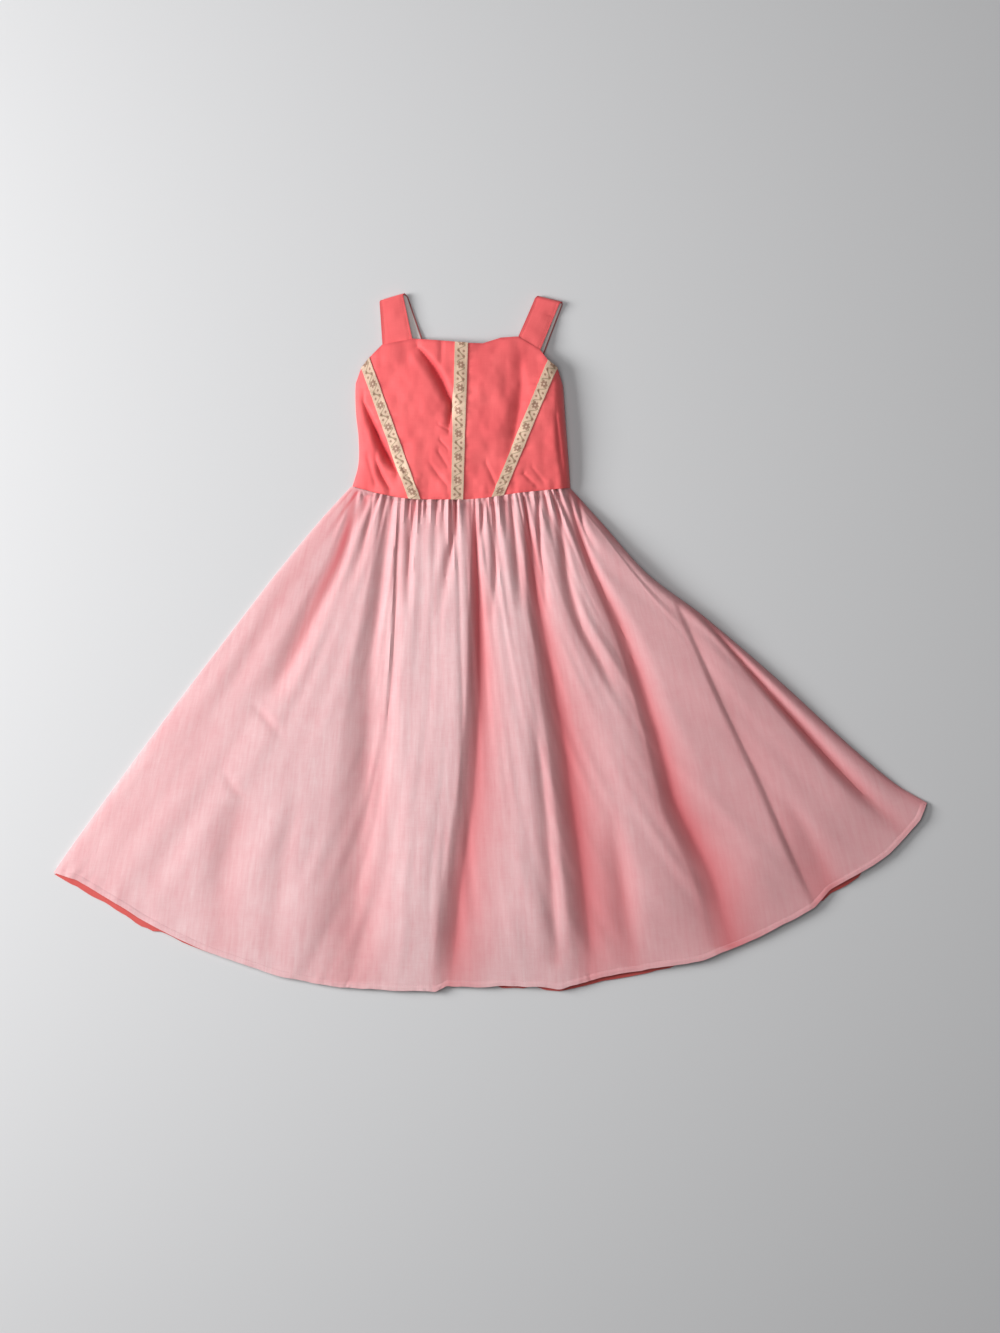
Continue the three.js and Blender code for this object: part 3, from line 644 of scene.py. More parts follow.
@dataclass(frozen=True)
class Gathers:
    """Small gathers all along the waist seam."""

    count: int = 27
    drift: float = 0.35
    waves: tuple[float, float] = (17, 41)

    def phase(self, share: Array) -> Array:
        """Which gather a place across the waist is on, counted from the left."""
        return share * self.count + self.drift * sum(np.sin(share * wave) for wave in self.waves)

    def wave(self, share: Array) -> Array:
        """1 on a gather's ridge and -1 between two."""
        return np.cos(2 * math.pi * self.phase(share))


@dataclass(frozen=True)
class Wrinkle:
    """Soft wrinkles along an edge of a panel, in millimetres.

    cells is how many lie across the panel, length how long one is along it, reach how far from the edge they
    last, and start where they begin in the ripples.
    """

    height: float
    cells: float
    length: float
    reach: float
    start: Point = (0, 0)

    def at(self, ripples: Ripples, share: Array, along: Array) -> Array:
        """Their height, by share of the way across and distance along, before they fade."""
        u, v = share * self.cells + self.start[0], along / self.length + self.start[1]
        return self.height * ripples.at(u, v)


@dataclass(frozen=True)
class WaistForm:
    """What the waist seam does to the cloth below it, in millimetres.

    A gather's height and reach are each a middle value and how much it varies. The cloth dips at the seam and
    puffs out below it, and small tucks lie between the gathers.
    """

    height: Point = (2.5, 1.7)
    reach: Point = (42, 30)
    tucks: tuple[Wrinkle, ...] = (
        Wrinkle(1.3, 88, math.inf, 15, (0, 3.5)),
        Wrinkle(1.0, 61, 60, 95, (0, 9)),
    )
    puff: float = 1.5
    puff_below: float = 6
    puffs: Wrinkle = Wrinkle(0.9, 40, math.inf, 4.5, (0, 5.5))
    dip: float = 3.0
    dip_reach: float = 3.5

    def shape(self, gathers: Gathers, ripples: Ripples, share: Array, below: Array) -> tuple[Array, Array]:
        """Works out the gathers.

        Args:
            gathers: where they lie.
            ripples: make them uneven.
            share: place across the skirt.
            below: distance below the waist seam.

        Returns:
            Their height, and how far a point lies in a furrow between two, from 0 to 1.
        """
        phase = gathers.phase(share)
        near = np.maximum(below, 0)
        reach = self.reach[0] + self.reach[1] * ripples.at(phase, np.zeros_like(phase))
        strength = self.height[0] + self.height[1] * ripples.at(phase, np.full_like(phase, 7.5))
        fading = np.exp(-near / reach)
        height = strength * gathers.wave(share) * fading
        for tuck in self.tucks:
            height += tuck.at(ripples, share, below) * np.exp(-near / tuck.reach)
        puffed = np.exp(-(((below - self.puff_below) / self.puffs.reach) ** 2))
        height += (self.puff + self.puffs.at(ripples, share, below)) * puffed
        height -= self.dip * np.exp(-((below / self.dip_reach) ** 2))
        return height, fading * np.clip(-gathers.wave(share), 0, 1)


@dataclass(frozen=True)
class HemForm:
    """The hem of the skirt's front, in millimetres.

    Over the stretch sink the cloth comes down to low, plus the share kept of the height that it had. band is
    the step of the turned hem, whose stitches lie in a groove. The puckers at the left are stronger.
    """

    low: float = 4.4
    kept: float = 0.1
    sink: Point = (-20, 110)
    band: float = 0.5
    band_edge: Point = (6.5, 8.5)
    stitches: float = 7
    groove: float = 0.4
    groove_width: float = 1.3
    puckers: Wrinkle = Wrinkle(0.5, 310, 9, 12)
    left_puckers: Wrinkle = Wrinkle(0.9, 210, 40, 30, (0, 5))
    left_part: Point = (0.2, 0.45)
    ruffles: tuple[Wrinkle, ...] = (
        Wrinkle(0.9, 46, math.inf, 14, (0, 3)),
        Wrinkle(0.5, 130, math.inf, 14, (0, 6)),
    )

    def sunk(self, height: Array, to_hem: Array) -> Array:
        """A height, brought down towards the surface near the hem."""
        at_hem = np.minimum(height, self.low + self.kept * height)
        return mix(at_hem, height, smooth(*self.sink, to_hem))

    def relief(self, ripples: Ripples, share: Array, to_hem: Array) -> Array:
        """Height of the hem's band, groove and puckers."""
        band = self.band * (1 - smooth(*self.band_edge, to_hem))
        groove = self.groove * np.exp(-(((to_hem - self.stitches) / self.groove_width) ** 2))
        left = 1 - smooth(*self.left_part, share)
        small, strong = (
            wrinkle.at(ripples, share, to_hem) * np.exp(-((to_hem / wrinkle.reach) ** 2))
            for wrinkle in (self.puckers, self.left_puckers)
        )
        return band - groove + small + strong * left

    def ruffle(self, ripples: Ripples, share: Array, to_hem: Array) -> Array:
        """How far the hem's line waves up and down."""
        return sum(
            wrinkle.at(ripples, share, to_hem) * np.exp(-((to_hem / wrinkle.reach) ** 2))
            for wrinkle in self.ruffles
        )


@dataclass(frozen=True)
class ShadePainting:
    """Painted shade on the skirt: its colour darkens where shade falls, in its folds, in the furrows between
    gathers, along its side seams and below the waist seam.

    wider is how a fold's painted shade spreads, full_depth the depth of fold that gets the full painted
    shade, and furrows its share in a furrow. left, right and waist are each a share of painted shade at that
    edge and its reach in millimetres. warm is where the cloth turns warmer, from left to right.
    """

    wider: Point = (1.2, 6.0)
    full_depth: float = 11
    furrows: float = 0.5
    furrow_start: float = 7
    power: float = 1.35
    left: Point = (0.16, 220)
    right: Point = (0.35, 16)
    waist: Point = (0.1, 45)
    warm: Point = (-60, 330)


@dataclass
class Skirt:
    """The skirt: its front, which lies in folds, its lining and its back."""

    waist: dict[float, float] = field(
        default_factory=lambda: {
            -179: 202,
            -143: 192.5,
            -105: 186,
            -52: 184.8,
            -10: 186.3,
            40: 193.5,
            105: 200,
        }
    )
    flare: Point = (-64, 350)
    length: float = 640
    lines: tuple[PanelLine, ...] = (
        PanelLine(-179, -37.7, (0, 0, 0), 60),
        PanelLine(-133, -8.9, (6, 9, 7), 50),
        PanelLine(-24, 0, (13, 18, 9), 50),
        PanelLine(44, 13.7, (0, 0, 0), 42),
        PanelLine(94, 26.3, (3, 3, 2), 26),
        PanelLine(99.5, 35.3, (40, 35, 18.5), 36),
        PanelLine(105, 48.5, (0, 0, 0), 0),
    )
    side_bow: dict[float, Point] = field(
        default_factory=lambda: {
            0: (0, 0),
            0.1: (5, -7),
            0.24: (8, -17),
            0.39: (8, -10),
            0.6: (7, -8),
            0.8: (4.5, -10.5),
            0.93: (2, -8),
            1: (0, 0),
        }
    )
    side_outward: Point = (0.66, 0.75)
    side_reach: float = 4
    hem: dict[float, float] = field(
        default_factory=lambda: {
            -37.7: 820,
            -35.4: 811,
            -32: 807.5,
            -27: 809.5,
            -14: 811,
            -2.2: 804,
            -0.4: 804,
            0.6: 797,
            7: 802,
            11: 815,
            15: 813,
            20: 822,
            24: 836,
            31: 844,
            35: 848,
            37: 842,
            39: 846,
            43: 856,
            47: 853,
            48.5: 845,
        }
    )
    loft_across: tuple[float, ...] = (0, 0.2, 0.5, 0.82, 1)
    loft: dict[float, Sequence[float]] = field(
        default_factory=lambda: {
            0: (5, 13.2, 21, 22, 16),
            0.25: (5, 13.2, 24, 26, 20),
            0.5: (5, 13.2, 23, 23, 17),
            0.75: (5, 12.4, 21, 18, 11),
            1: (5, 11.5, 18, 14, 7),
        }
    )
    edge_round: Point = (45, 18)
    lowest: Point = (6.6, 4.2)
    easing: float = 0.5
    gathers: Gathers = Gathers()
    waist_form: WaistForm = WaistForm()
    hem_form: HemForm = HemForm()
    shade_painting: ShadePainting = ShadePainting()
    hangs: tuple[Wrinkle, ...] = (
        Wrinkle(1.0, 44, 210, 60, (0, 4)),
        Wrinkle(0.6, 90, 120, 40, (13, 0)),
    )
    sway: float = 1.3
    sway_cell: Point = (70, 90)
    hidden_reach: float = 0.11
    hidden_side: float = 0.17
    rows: int = 180
    folds: tuple[Fold, ...] = (
        # Creases inside the left side seam.
        Fold((-189, -260, -350), (189, 78, -75), (2, 3, 0), (9, 15, 22), (9, 16, 26)),
        Fold((-186, -200, -212), (180, 149, 120), (2, 2, 0), (4, 5, 6), (4, 5, 6)),
        Fold(
            (-174, -192, -222, -261, -284),
            (193, 119, 55, -29, -75),
            (6, 8, 7, 5, 0),
            (7, 12, 16, 20, 22),
            (8, 13, 18, 22, 26),
        ),
        Fold((-165, -160, -169), (192, 178, 150), (3, 2, 0), (5, 6, 8), (5, 6, 8)),
        Fold((-150, -156, -164, -186), (191, 159, 120, 60), (4, 4, 3, 0), (6, 8, 11, 15), (6, 8, 11, 15)),
        # The left fold and its second arm.
        Fold(
            (-131, -140, -152, -157, -160, -169, -172, -174),
            (187, 81, -23, -120, -205, -309, -387, -440),
            (4, 5.2, 6.3, 7.6, 8.3, 9, 9.6, 8.5),
            (8, 14, 22, 30, 40, 52, 66, 74),
            (10, 18, 28, 38, 46, 52, 54, 54),
            bottom=0.2,
            power=1.3,
            shade_share=0.6,
        ),
        Fold(
            (-115, -120, -123, -132, -145),
            (186, 110, 3, -100, -215),
            (3.5, 4, 3.2, 2.2, 0.8),
            (5, 7, 9, 11, 12),
            (7, 10, 18, 24, 26),
            bottom=0.06,
        ),
        Fold(
            (-121, -125, -128, -139),
            (150, 60, -10, -160),
            (-0.6, -1.2, -1.4, -0.4),
            (4, 5, 6, 7),
            (3, 3, 3, 4),
        ),
        Fold((-98, -103, -106, -107), (184, 125, 80, 40), (5, 5, 4, 0), (6, 7, 9, 10), (6, 7, 10, 12)),
        Fold((-83, -80, -82), (184, 165, 135), (3, 2, 0), (5, 6, 8), (5, 6, 8)),
        Fold((-64, -62, -68), (184, 154, 100), (4, 3, 0), (5, 7, 10), (5, 7, 10)),
        Fold((-44, -46, -54, -64), (184, 140, 95, 25), (6, 6, 4, 0), (6, 8, 11, 14), (6, 8, 10, 13)),
        # The middle fold, the deepest.
        Fold(
            (-23, -20, -23, -29, -42, -57, -66),
            (184, 68, -76, -174, -271, -382, -450),
            (2, 2, 2, 1.5, 1.5, 1.5, 1),
            (8, 12, 18, 22, 24, 24, 24),
            (10, 24, 40, 46, 50, 58, 64),
        ),
        Fold(
            (-18, -16, -13, -12, -16, -20, -31, -38, -46, -50),
            (188, 107, 29, -75, -153, -205, -283, -335, -413, -450),
            (4, 7.5, 9, 8.5, 8.2, 8.2, 8.2, 8.2, 7.8, 6),
            (3, 7, 13, 17, 20, 22, 23, 24, 24, 24),
            (4, 8, 24, 42, 54, 62, 68, 72, 72, 68),
            bottom=0.08,
            power=1.25,
        ),
        Fold((-6, -10, -13), (185, 148, 112), (4, 3, 0), (5, 6, 8), (5, 6, 8)),
        Fold((3, 7, 8, 4), (185, 140, 80, 22), (5, 5, 4, 0), (6, 7, 9, 12), (6, 7, 9, 12)),
        Fold((15, 20, 22), (186, 152, 125), (3, 2, 0), (5, 6, 7), (5, 6, 7)),
        Fold((27, 33, 38, 44), (188, 135, 85, 35), (5, 5, 4, 0), (6, 8, 10, 14), (6, 8, 10, 14)),
        # The right fold, with a soft one on its left.
        Fold(
            (44, 54, 70, 85, 103, 114, 127),
            (190, 90, -23, -105, -229, -330, -440),
            (2, 2, 2, 2, 2, 1.5, 1),
            (8, 15, 26, 34, 42, 46, 48),
            (8, 14, 22, 30, 38, 42, 44),
        ),
        Fold(
            (47, 53, 63, 79, 88, 98, 108, 119, 125, 131, 134),
            (188, 133, 55, -23, -75, -127, -205, -283, -335, -387, -440),
            (4, 7, 8, 8.5, 8.7, 8.8, 8.8, 8.8, 8.6, 7.5, 5),
            (3, 7, 13, 17, 20, 22, 23, 24, 24, 24, 22),
            (3.5, 9, 22, 36, 48, 56, 62, 66, 68, 66, 60),
            bottom=0.08,
            power=1.25,
        ),
        Fold((58, 66, 78, 88), (-80, -150, -270, -415), (0, 3, 4, 4), (12, 16, 20, 24), (10, 12, 14, 16)),
        Fold((63, 66, 72, 74), (193, 125, 80, 35), (5, 5, 3, 0), (5, 6, 8, 10), (5, 6, 8, 10)),
        Fold((72, 78, 84), (195, 158, 128), (3, 2, 0), (5, 6, 7), (5, 6, 7)),
        Fold(
            (86, 96, 103, 120, 143, 168),
            (197, 125, 75, 18, -25, -75),
            (4, 5, 5.5, 5.5, 4, 0),
            (6, 10, 14, 17, 19, 20),
            (6, 9, 11, 13, 15, 16),
        ),
        # The far right fold.
        Fold(
            (97, 125, 164, 194, 222, 266, 301),
            (199, 107, 16, -75, -177, -287, -395),
            (2, 3, 3, 2.5, 3, 3, 3),
            (6, 12, 18, 28, 40, 50, 52),
            (6, 10, 15, 24, 36, 44, 54),
        ),
        Fold(
            (103, 130, 174, 212, 227, 241, 266, 291, 316),
            (188, 107, 12, -101, -153, -205, -257, -309, -395),
            (3, 6, 7, 7.8, 7.8, 7.8, 7.8, 7.4, 6.5),
            (3, 6, 11, 15, 17, 19, 21, 23, 27),
            (3.5, 7, 18, 28, 38, 46, 54, 60, 62),
            bottom=0.08,
            power=1.25,
        ),
        Fold((115, 124, 142), (180, 145, 112), (4, 4, 0), (5, 8, 10), (5, 8, 10)),
        Fold((142, 160, 182), (160, 136, 108), (3, 3, 0), (5, 7, 8), (5, 7, 8)),
        # The upper layer's edge on the right, and the crease in the layer below it.
        Fold(
            (245, 272, 307, 349, 393, 430),
            (47, -12, -89, -175, -275, -352),
            (1.5, 2.5, 2.7, 2.7, 3.5, 3.5),
            (5, 6, 7, 8, 8, 8),
            (12, 20, 28, 34, 40, 44),
            bottom=0.05,
            power=1.5,
        ),
        Fold(
            (380, 414, 441, 456),
            (-190, -250, -309, -352),
            (0, 3, 5.5, 6),
            (14, 24, 34, 36),
            (14, 24, 36, 40),
        ),
        Fold(
            (259, 333, 403, 463, 536),
            (51, -31, -110, -176, -246),
            (3, 7, 9, 8, 3),
            (4, 6, 8, 11, 15),
            (6, 10, 16, 20, 24),
        ),
        # Soft troughs low on the left and right, and two dents.
        Fold(
            (-316, -334, -346, -348),
            (-190, -240, -309, -395),
            (1, 3, 3.2, 3),
            (20, 28, 32, 36),
            (28, 44, 56, 60),
        ),
        Fold((158, 172, 188), (-200, -310, -420), (0, 4, 4), (18, 26, 30), (18, 26, 30)),
        Fold((-309, -288, -268), (-77, -101, -128), (0, 2.4, 0), (7, 9, 7), (7, 9, 7)),
        Fold((-347, -334, -320), (-162, -186, -208), (0, 2.2, 0), (7, 9, 7), (7, 9, 7)),
        Fold((-245, -262, -285), (-150, -260, -400), (0, 2, 2), (16, 22, 26), (16, 22, 26)),
    )

    def waist_line(self, x: Array) -> Array:
        """The waist seam's y at each x."""
        return curve_at(list(self.waist), list(self.waist.values()), x)

    def plan(self, across: Array, down: Array, beyond: Array | float = 0.0) -> tuple[Array, Array, Array]:
        """Lays out places of the skirt.

        Args:
            across: place from left to right, in lines: 1.5 is half way from the second to the third.
            down: share of the way from the waist to the hem.
            beyond: how far past the front's hem the sheet's own hem lies.

        Returns:
            x, y, and the place from side to side as a share of the width.
        """
        number = np.arange(len(self.lines))
        waist_x = np.interp(across, number, [line.waist for line in self.lines])
        angle = np.interp(across, number, [line.hem for line in self.lines])
        radius = np.interp(angle, list(self.hem), list(self.hem.values())) + beyond
        hem_x = self.flare[0] + radius * np.sin(np.radians(angle))
        hem_y = self.flare[1] - radius * np.cos(np.radians(angle))
        waist_y = self.waist_line(waist_x) - SEAM_GAP / 2
        first, last = self.lines[0], self.lines[-1]
        waist_share = (waist_x - first.waist) / (last.waist - first.waist)
        hem_share = (angle - first.hem) / (last.hem - first.hem)
        share = mix(waist_share, hem_share, down)
        places = list(self.side_bow)
        left_bows, right_bows = zip(*self.side_bow.values(), strict=True)
        left_bow = curve_at(places, left_bows, down) * (1 - share) ** self.side_reach
        right_bow = curve_at(places, right_bows, down) * share**self.side_reach
        bend = sum(
            curve_at((0, 0.25, 0.5, 0.75, 1), unit, down)
            * np.interp(across, number, [line.bend[k] for line in self.lines])
            for k, unit in enumerate(np.eye(5)[1:4])
        )
        x = mix(waist_x, hem_x, down) + bend + (right_bow - left_bow) * self.side_outward[0]
        y = mix(waist_y, hem_y, down) + (right_bow + left_bow) * self.side_outward[1]
        return x, y, share

    def edges(self, down: Array) -> tuple[Array, Array]:
        """The left and right side seams' points at each share of the way down."""
        left = self.plan(np.zeros_like(down), down)
        right = self.plan(np.full_like(down, len(self.lines) - 1), down)
        return np.stack(left[:2], -1), np.stack(right[:2], -1)

    def columns(self) -> Array:
        """Places across for the front's columns, closer together near the lines."""
        crowd = 0.55
        places = []
        for k, line in enumerate(self.lines[:-1]):
            t = np.arange(line.cells) / line.cells
            places.append(k + t - crowd * np.sin(2 * math.pi * t) / (2 * math.pi))
        return np.append(np.concatenate(places), len(self.lines) - 1)

    def row_places(self) -> Array:
        """Shares of the way down for the front's rows, closer together at the waist and the hem."""
        steps = np.arange(self.rows + 1) / self.rows
        return curve_at((0, 0.22, 0.9, 1), (0, 0.1, 0.95, 1), steps)

    def front(self) -> Sheet:
        """The skirt's front, with its gathers, folds and hem."""
        down, across = np.meshgrid(self.row_places(), self.columns(), indexing="ij")
        x, y, share = self.plan(across, down)
        below = self.waist_line(x) - y
        to_hem = (1 - down) * self.length
        fine, long, soft = Ripples(3), Ripples(11), Ripples(29)
        gathers, furrows = self.waist_form.shape(self.gathers, fine, share, below)
        hang = sum(fold.at(long, share, below) * smooth(0, fold.reach, below) for fold in self.hangs)
        sway = self.sway * soft.at(x / self.sway_cell[0], y / self.sway_cell[1]) * smooth(20, 160, below)
        loft = loft_at(self.loft, self.loft_across, down, share)
        top = loft + gathers + hang + sway - folds_depth(self.folds, x, y)
        lowest = mix(*self.lowest, smooth(60, 200, below))
        clear = lowest + self.easing * np.logaddexp(0, (top - lowest) / self.easing)
        clear = self.hem_form.sunk(clear, to_hem)
        left, right = self.edges(down)
        here = np.stack([x, y], -1)
        from_left = np.linalg.norm(here - left, axis=-1)
        from_right = np.linalg.norm(right - here, axis=-1)
        height = rounded_edge(clear, from_left, self.edge_round[0])
        height = np.minimum(height, rounded_edge(clear, from_right, self.edge_round[1]))
        relief = self.hem_form.relief(fine, share, to_hem)
        height = height + relief * smooth(0, 12, np.minimum(from_left, from_right))
        from_flare = (self.flare[1] - y) / 700
        u = (x - self.flare[0]) / np.maximum(from_flare, 0.1) ** 0.3
        # The first value is painted shade: darker in the folds, in the furrows between gathers, along the
        # side seams and below the waist seam.
        values = {
            "painted_shade": self.painted_shade(x, y, furrows, from_left, from_right),
            "warmth": smooth(*self.shade_painting.warm, x),
        }
        points = np.stack([x, y - self.hem_form.ruffle(fine, share, to_hem), height], -1)
        return Sheet(points, np.stack([u, y], -1), values)

    def painted_shade(self, x: Array, y: Array, furrows: Array, from_left: Array, from_right: Array) -> Array:
        """How much painted shade darkens the colour at each point.

        Args:
            x: place across.
            y: place along.
            furrows: how far each point lies in a furrow between two gathers.
            from_left: its distance from the left side seam.
            from_right: its distance from the right side seam.

        Returns:
            Shares from 0 to 1.
        """
        colour = self.shade_painting
        below = self.waist_line(x) - y
        wide = folds_depth([fold.shade_spread(*colour.wider) for fold in self.folds], x, y)
        furrows = colour.furrows * furrows * smooth(0, colour.furrow_start, below)
        inside = np.clip(np.clip(wide, 0, None) / colour.full_depth + furrows, 0, 1) ** colour.power
        at_left = colour.left[0] * (1 - smooth(0, colour.left[1], from_left))
        at_right = colour.right[0] * (1 - smooth(0, colour.right[1], from_right))
        at_waist = colour.waist[0] * np.exp(-np.maximum(below, 0) / colour.waist[1])
        return np.clip(inside + at_left + at_right + at_waist, 0, 1)

    def hidden(
        self, rows: Array, columns: int, inset: Array | float, beyond: Array | float
    ) -> tuple[Array, Array, Array, Array]:
        """Places of a layer below the front, moved in from the side seams.

        Args:
            rows: shares of the way down.
            columns: cells across.
            inset: how far in it lies, by row.
            beyond: how far past the front's hem its own lies, by column.

        Returns:
            x, y, the place across as a share, and the share of the way down.
        """
        places = np.linspace(0, len(self.lines) - 1, columns + 1)
        down, across = np.meshgrid(rows, places, indexing="ij")
        x, y, share = self.plan(across, down, beyond)
        left, right = self.edges(down)
        width = np.linalg.norm(right - left, axis=-1)
        inward = np.broadcast_to(inset, down.shape) * (1 - 2 * share) / width
        x = x + inward * (right - left)[..., 0]
        y = y + inward * (right - left)[..., 1]
        return x, y, share, down

    def hidden_rise(self, share: Array, down: Array) -> Array:
        """How much of a hidden layer's gathers stands up: most below the waist's middle."""
        side = np.minimum(1, np.minimum(share, 1 - share) / self.hidden_side)
        return np.exp(-((down / self.hidden_reach) ** 2)) * side

    def back(self) -> Sheet:
        """The skirt's back, flat on the surface, with low gathers below the waist."""
        rows = np.linspace(0, 1, 61) ** 1.4
        x, y, share, down = self.hidden(rows, 240, 0.5, -8.0)
        rise = 2.3 * (0.5 + 0.5 * self.gathers.wave(share)) * self.hidden_rise(share, down)
        points = np.stack([x, y, BACK_MIDDLE + rise], -1)
        return Sheet(points, np.stack([x, y], -1), {"painted_shade": np.zeros_like(x), "warmth": np.zeros_like(x)})

    def lining(self) -> Sheet:
        """The lining, whose hem shows past the front's at both sides and in thin lines between."""
        shows = {
            0: 4,
            0.02: 8,
            0.045: 9.5,
            0.06: 8,
            0.075: 9,
            0.09: 8,
            0.105: 10.5,
            0.112: 8,
            0.12: 8,
            0.128: 3,
            0.14: 2.5,
            0.155: 3.5,
            0.19: 1.5,
            0.2: -6,
            0.49: -6,
            0.505: 3,
            0.527: 3,
            0.538: -2,
            0.55: 3,
            0.6: 5,
            0.66: 5,
            0.685: 3,
            0.7: -4,
            0.845: -6,
            0.856: 4,
            0.868: 5,
            0.885: 6.5,
            0.9: 5,
            0.912: -3,
            1: -12,
        }
        along = np.linspace(0, 1, 91)
        rows = mix(0.035, 1.0, along)
        columns = 300
        places = np.linspace(0, len(self.lines) - 1, columns + 1)
        hem_share = self.plan(places, np.ones(columns + 1))[2]
        beyond = np.interp(hem_share, list(shows), list(shows.values()))
        last = smooth(0.985, 1, along)[:, None]
        x, y, share, down = self.hidden(rows, columns, mix(10, 14, along)[:, None] - 11 * last, beyond)
        soft = Ripples(41)
        wave = 0.35 * soft.at(share * 60, down * 6) * smooth(0.9, 1, down)
        droop = 0.9 * last * smooth(-3, 3, beyond)
        height = LINING_MIDDLE + 5.2 * self.hidden_rise(share, down) + np.maximum(wave, 0) - droop
        points = np.stack([x, y, height], -1)
        return Sheet(points, np.stack([x, y], -1), {"painted_shade": np.zeros_like(x)})


@dataclass(frozen=True)
class BodiceLine:
    """A line up the bodice from the waist seam to the top edge, with the cells to the next one."""

    name: str
    waist: float
    top: Point
    cells: int


@dataclass
class Bodice:
    """The bodice: its front, the three bands of ribbon on it, and the two halves of its back."""

    skirt: Skirt
    lines: tuple[BodiceLine, ...] = (
        BodiceLine("left side seam", -179, (-172, 336), 34),
        BodiceLine("left trim, outer edge", -104.5, (-166, 355.8), 10),
        BodiceLine("left trim, inner edge", -89, (-155.5, 369.5), 10),
        BodiceLine("left strap, outer edge", -78, (-139, 386), 14),
        BodiceLine("left strap, inner edge", -64, (-100, 394), 20),
        BodiceLine("centre trim, left edge", -49.5, (-44.5, 389.8), 10),
        BodiceLine("centre trim, right edge", -33.8, (-27.5, 387.9), 10),
        BodiceLine("neckline's low point", -22, (-8, 387.5), 10),
        BodiceLine("neckline's right rise", -12, (15, 395), 10),
        BodiceLine("right strap, inner edge", -5, (37, 396.5), 12),
        BodiceLine("right strap, outer edge", 0, (66, 379), 8),
        BodiceLine("right trim, inner edge", 3, (76, 366), 10),
        BodiceLine("right trim, outer edge", 19, (88, 355.5), 30),
        BodiceLine("right side seam", 105, (95, 334), 0),
    )
    rows: int = 130
    side_places: tuple[float, ...] = (196, 230, 264, 298, 332, 366, 400)
    left_side: tuple[float, ...] = (-179, -169.5, -169, -172.5, -173, -169, -163)
    right_side: tuple[float, ...] = (105, 103, 100.5, 98, 95.5, 90, 84)
    loft_across: tuple[float, ...] = (0, 0.25, 0.5, 0.75, 1)
    loft: dict[float, Sequence[float]] = field(
        default_factory=lambda: {
            0: (9, 17, 20, 21, 19.5),
            0.35: (9, 18, 21, 22, 21),
            0.7: (8, 14, 18, 19, 18),
            1: (6, 9, 12.5, 11, 10),
        }
    )
    edge_round: Point = (24, 13)
    pull_height: float = 0.9
    pull_reach: float = 18
    pucker_height: float = 0.7
    pucker_reach: float = 7
    # Painted shade along the top edge and the waist seam, its reach, and the fold depth that gets full
    # painted shade.
    seam_shade: Point = (0.4, 0.3)
    shade_reach: float = 2.5
    shade_depth: float = 8
    centre_back: float = -42
    back_top: float = 377
    back_corners: dict[int, tuple[Point, ...]] = field(
        default_factory=lambda: {
            -1: ((-132, 377), (-150, 362), (-169, 340)),
            1: ((60, 377), (78, 362), (92, 340)),
        }
    )
    back_inset: float = 0.6
    folds: tuple[Fold, ...] = (
        Fold(
            (-163, -152, -141, -129, -119),
            (312, 287, 262, 238, 220),
            (3, 7, 9, 9, 4),
            (8, 10, 12, 13, 10),
            (4, 6, 7, 7, 6),
        ),
        Fold((-147, -139, -129), (236, 216, 199), (2, 4.5, 3), (7, 9, 9), (5, 6, 6)),
        Fold(
            (-93, -78, -64, -55, -47),
            (384, 366, 345, 325, 306),
            (3, 7.5, 8.5, 7.5, 5),
            (9, 14, 16, 15, 13),
            (5, 7, 8, 8, 8),
        ),
        Fold((-48, -50, -53), (308, 290, 266), (4, 4, 0), (8, 9, 8), (4, 4, 4)),
        Fold((-92, -76), (378, 356), (-1.2, -0.6), (5, 6), (5, 6), fade=16),
        Fold((-62, -62), (387, 366), (1.8, 1.2), (4, 5), (4, 5), fade=14),
        Fold((41, 40, 34, 26), (362, 315, 278, 240), (2, 4.3, 4.3, 2.5), (16, 20, 22, 22), (10, 14, 14, 14)),
        Fold((87, 90, 93, 98), (292, 263, 235, 205), (1.5, 2.5, 2.5, 2), (5, 6, 6, 6), (5, 6, 6, 6)),
        Fold((-78, -66, -54), (234, 217, 202), (0.5, 2, 1.2), (6, 8, 8), (5, 6, 6)),
        Fold((-66, -54), (247, 228), (1.2, 1), (5, 5), (5, 5), fade=12),
        Fold((-64, -53), (262, 250), (1.1, 1.0), (3, 3), (3, 3), fade=10),
        Fold((-66, -52), (282, 274), (0.9, 1.0), (3, 3), (3, 3), fade=8),
        Fold((45, 60), (218, 203), (1.8, 1.6), (4, 5), (4, 5), fade=12),
        Fold((56, 70), (226, 208), (1.2, 1.2), (4, 4), (4, 4), fade=12),
        Fold((-112, -98), (226, 204), (2, 1.6), (6, 6), (5, 5), fade=14),
        Fold((-158, -148), (240, 206), (1, 1.6), (5, 6), (5, 6), fade=14),
        Fold((-4, 8), (232, 205), (1.2, 1.6), (6, 7), (5, 6), fade=14),
    )

    def side(self, table: Sequence[float], y: Array) -> Array:
        """A side edge's x at each y."""
        return curve_at(self.side_places, table, y)

    def height(self, x: Array, y: Array) -> Array:
        """Middle of the front's wall, before its fine wrinkles."""
        left, right = self.side(self.left_side, y), self.side(self.right_side, y)
        low, high = self.side_places[0], self.side_places[-1]
        up = np.clip((y - low) / (high - low), 0, 1)
        loft = loft_at(self.loft, self.loft_across, up, np.clip((x - left) / (right - left), 0, 1))
        dip = 2 * np.exp(-(((y - self.skirt.waist_line(x)) / 6) ** 2))
        top = loft - dip - folds_depth(self.folds, x, y)
        from_left = rounded_edge(top, x - left, self.edge_round[0])
        return np.minimum(from_left, rounded_edge(top, right - x, self.edge_round[1]))

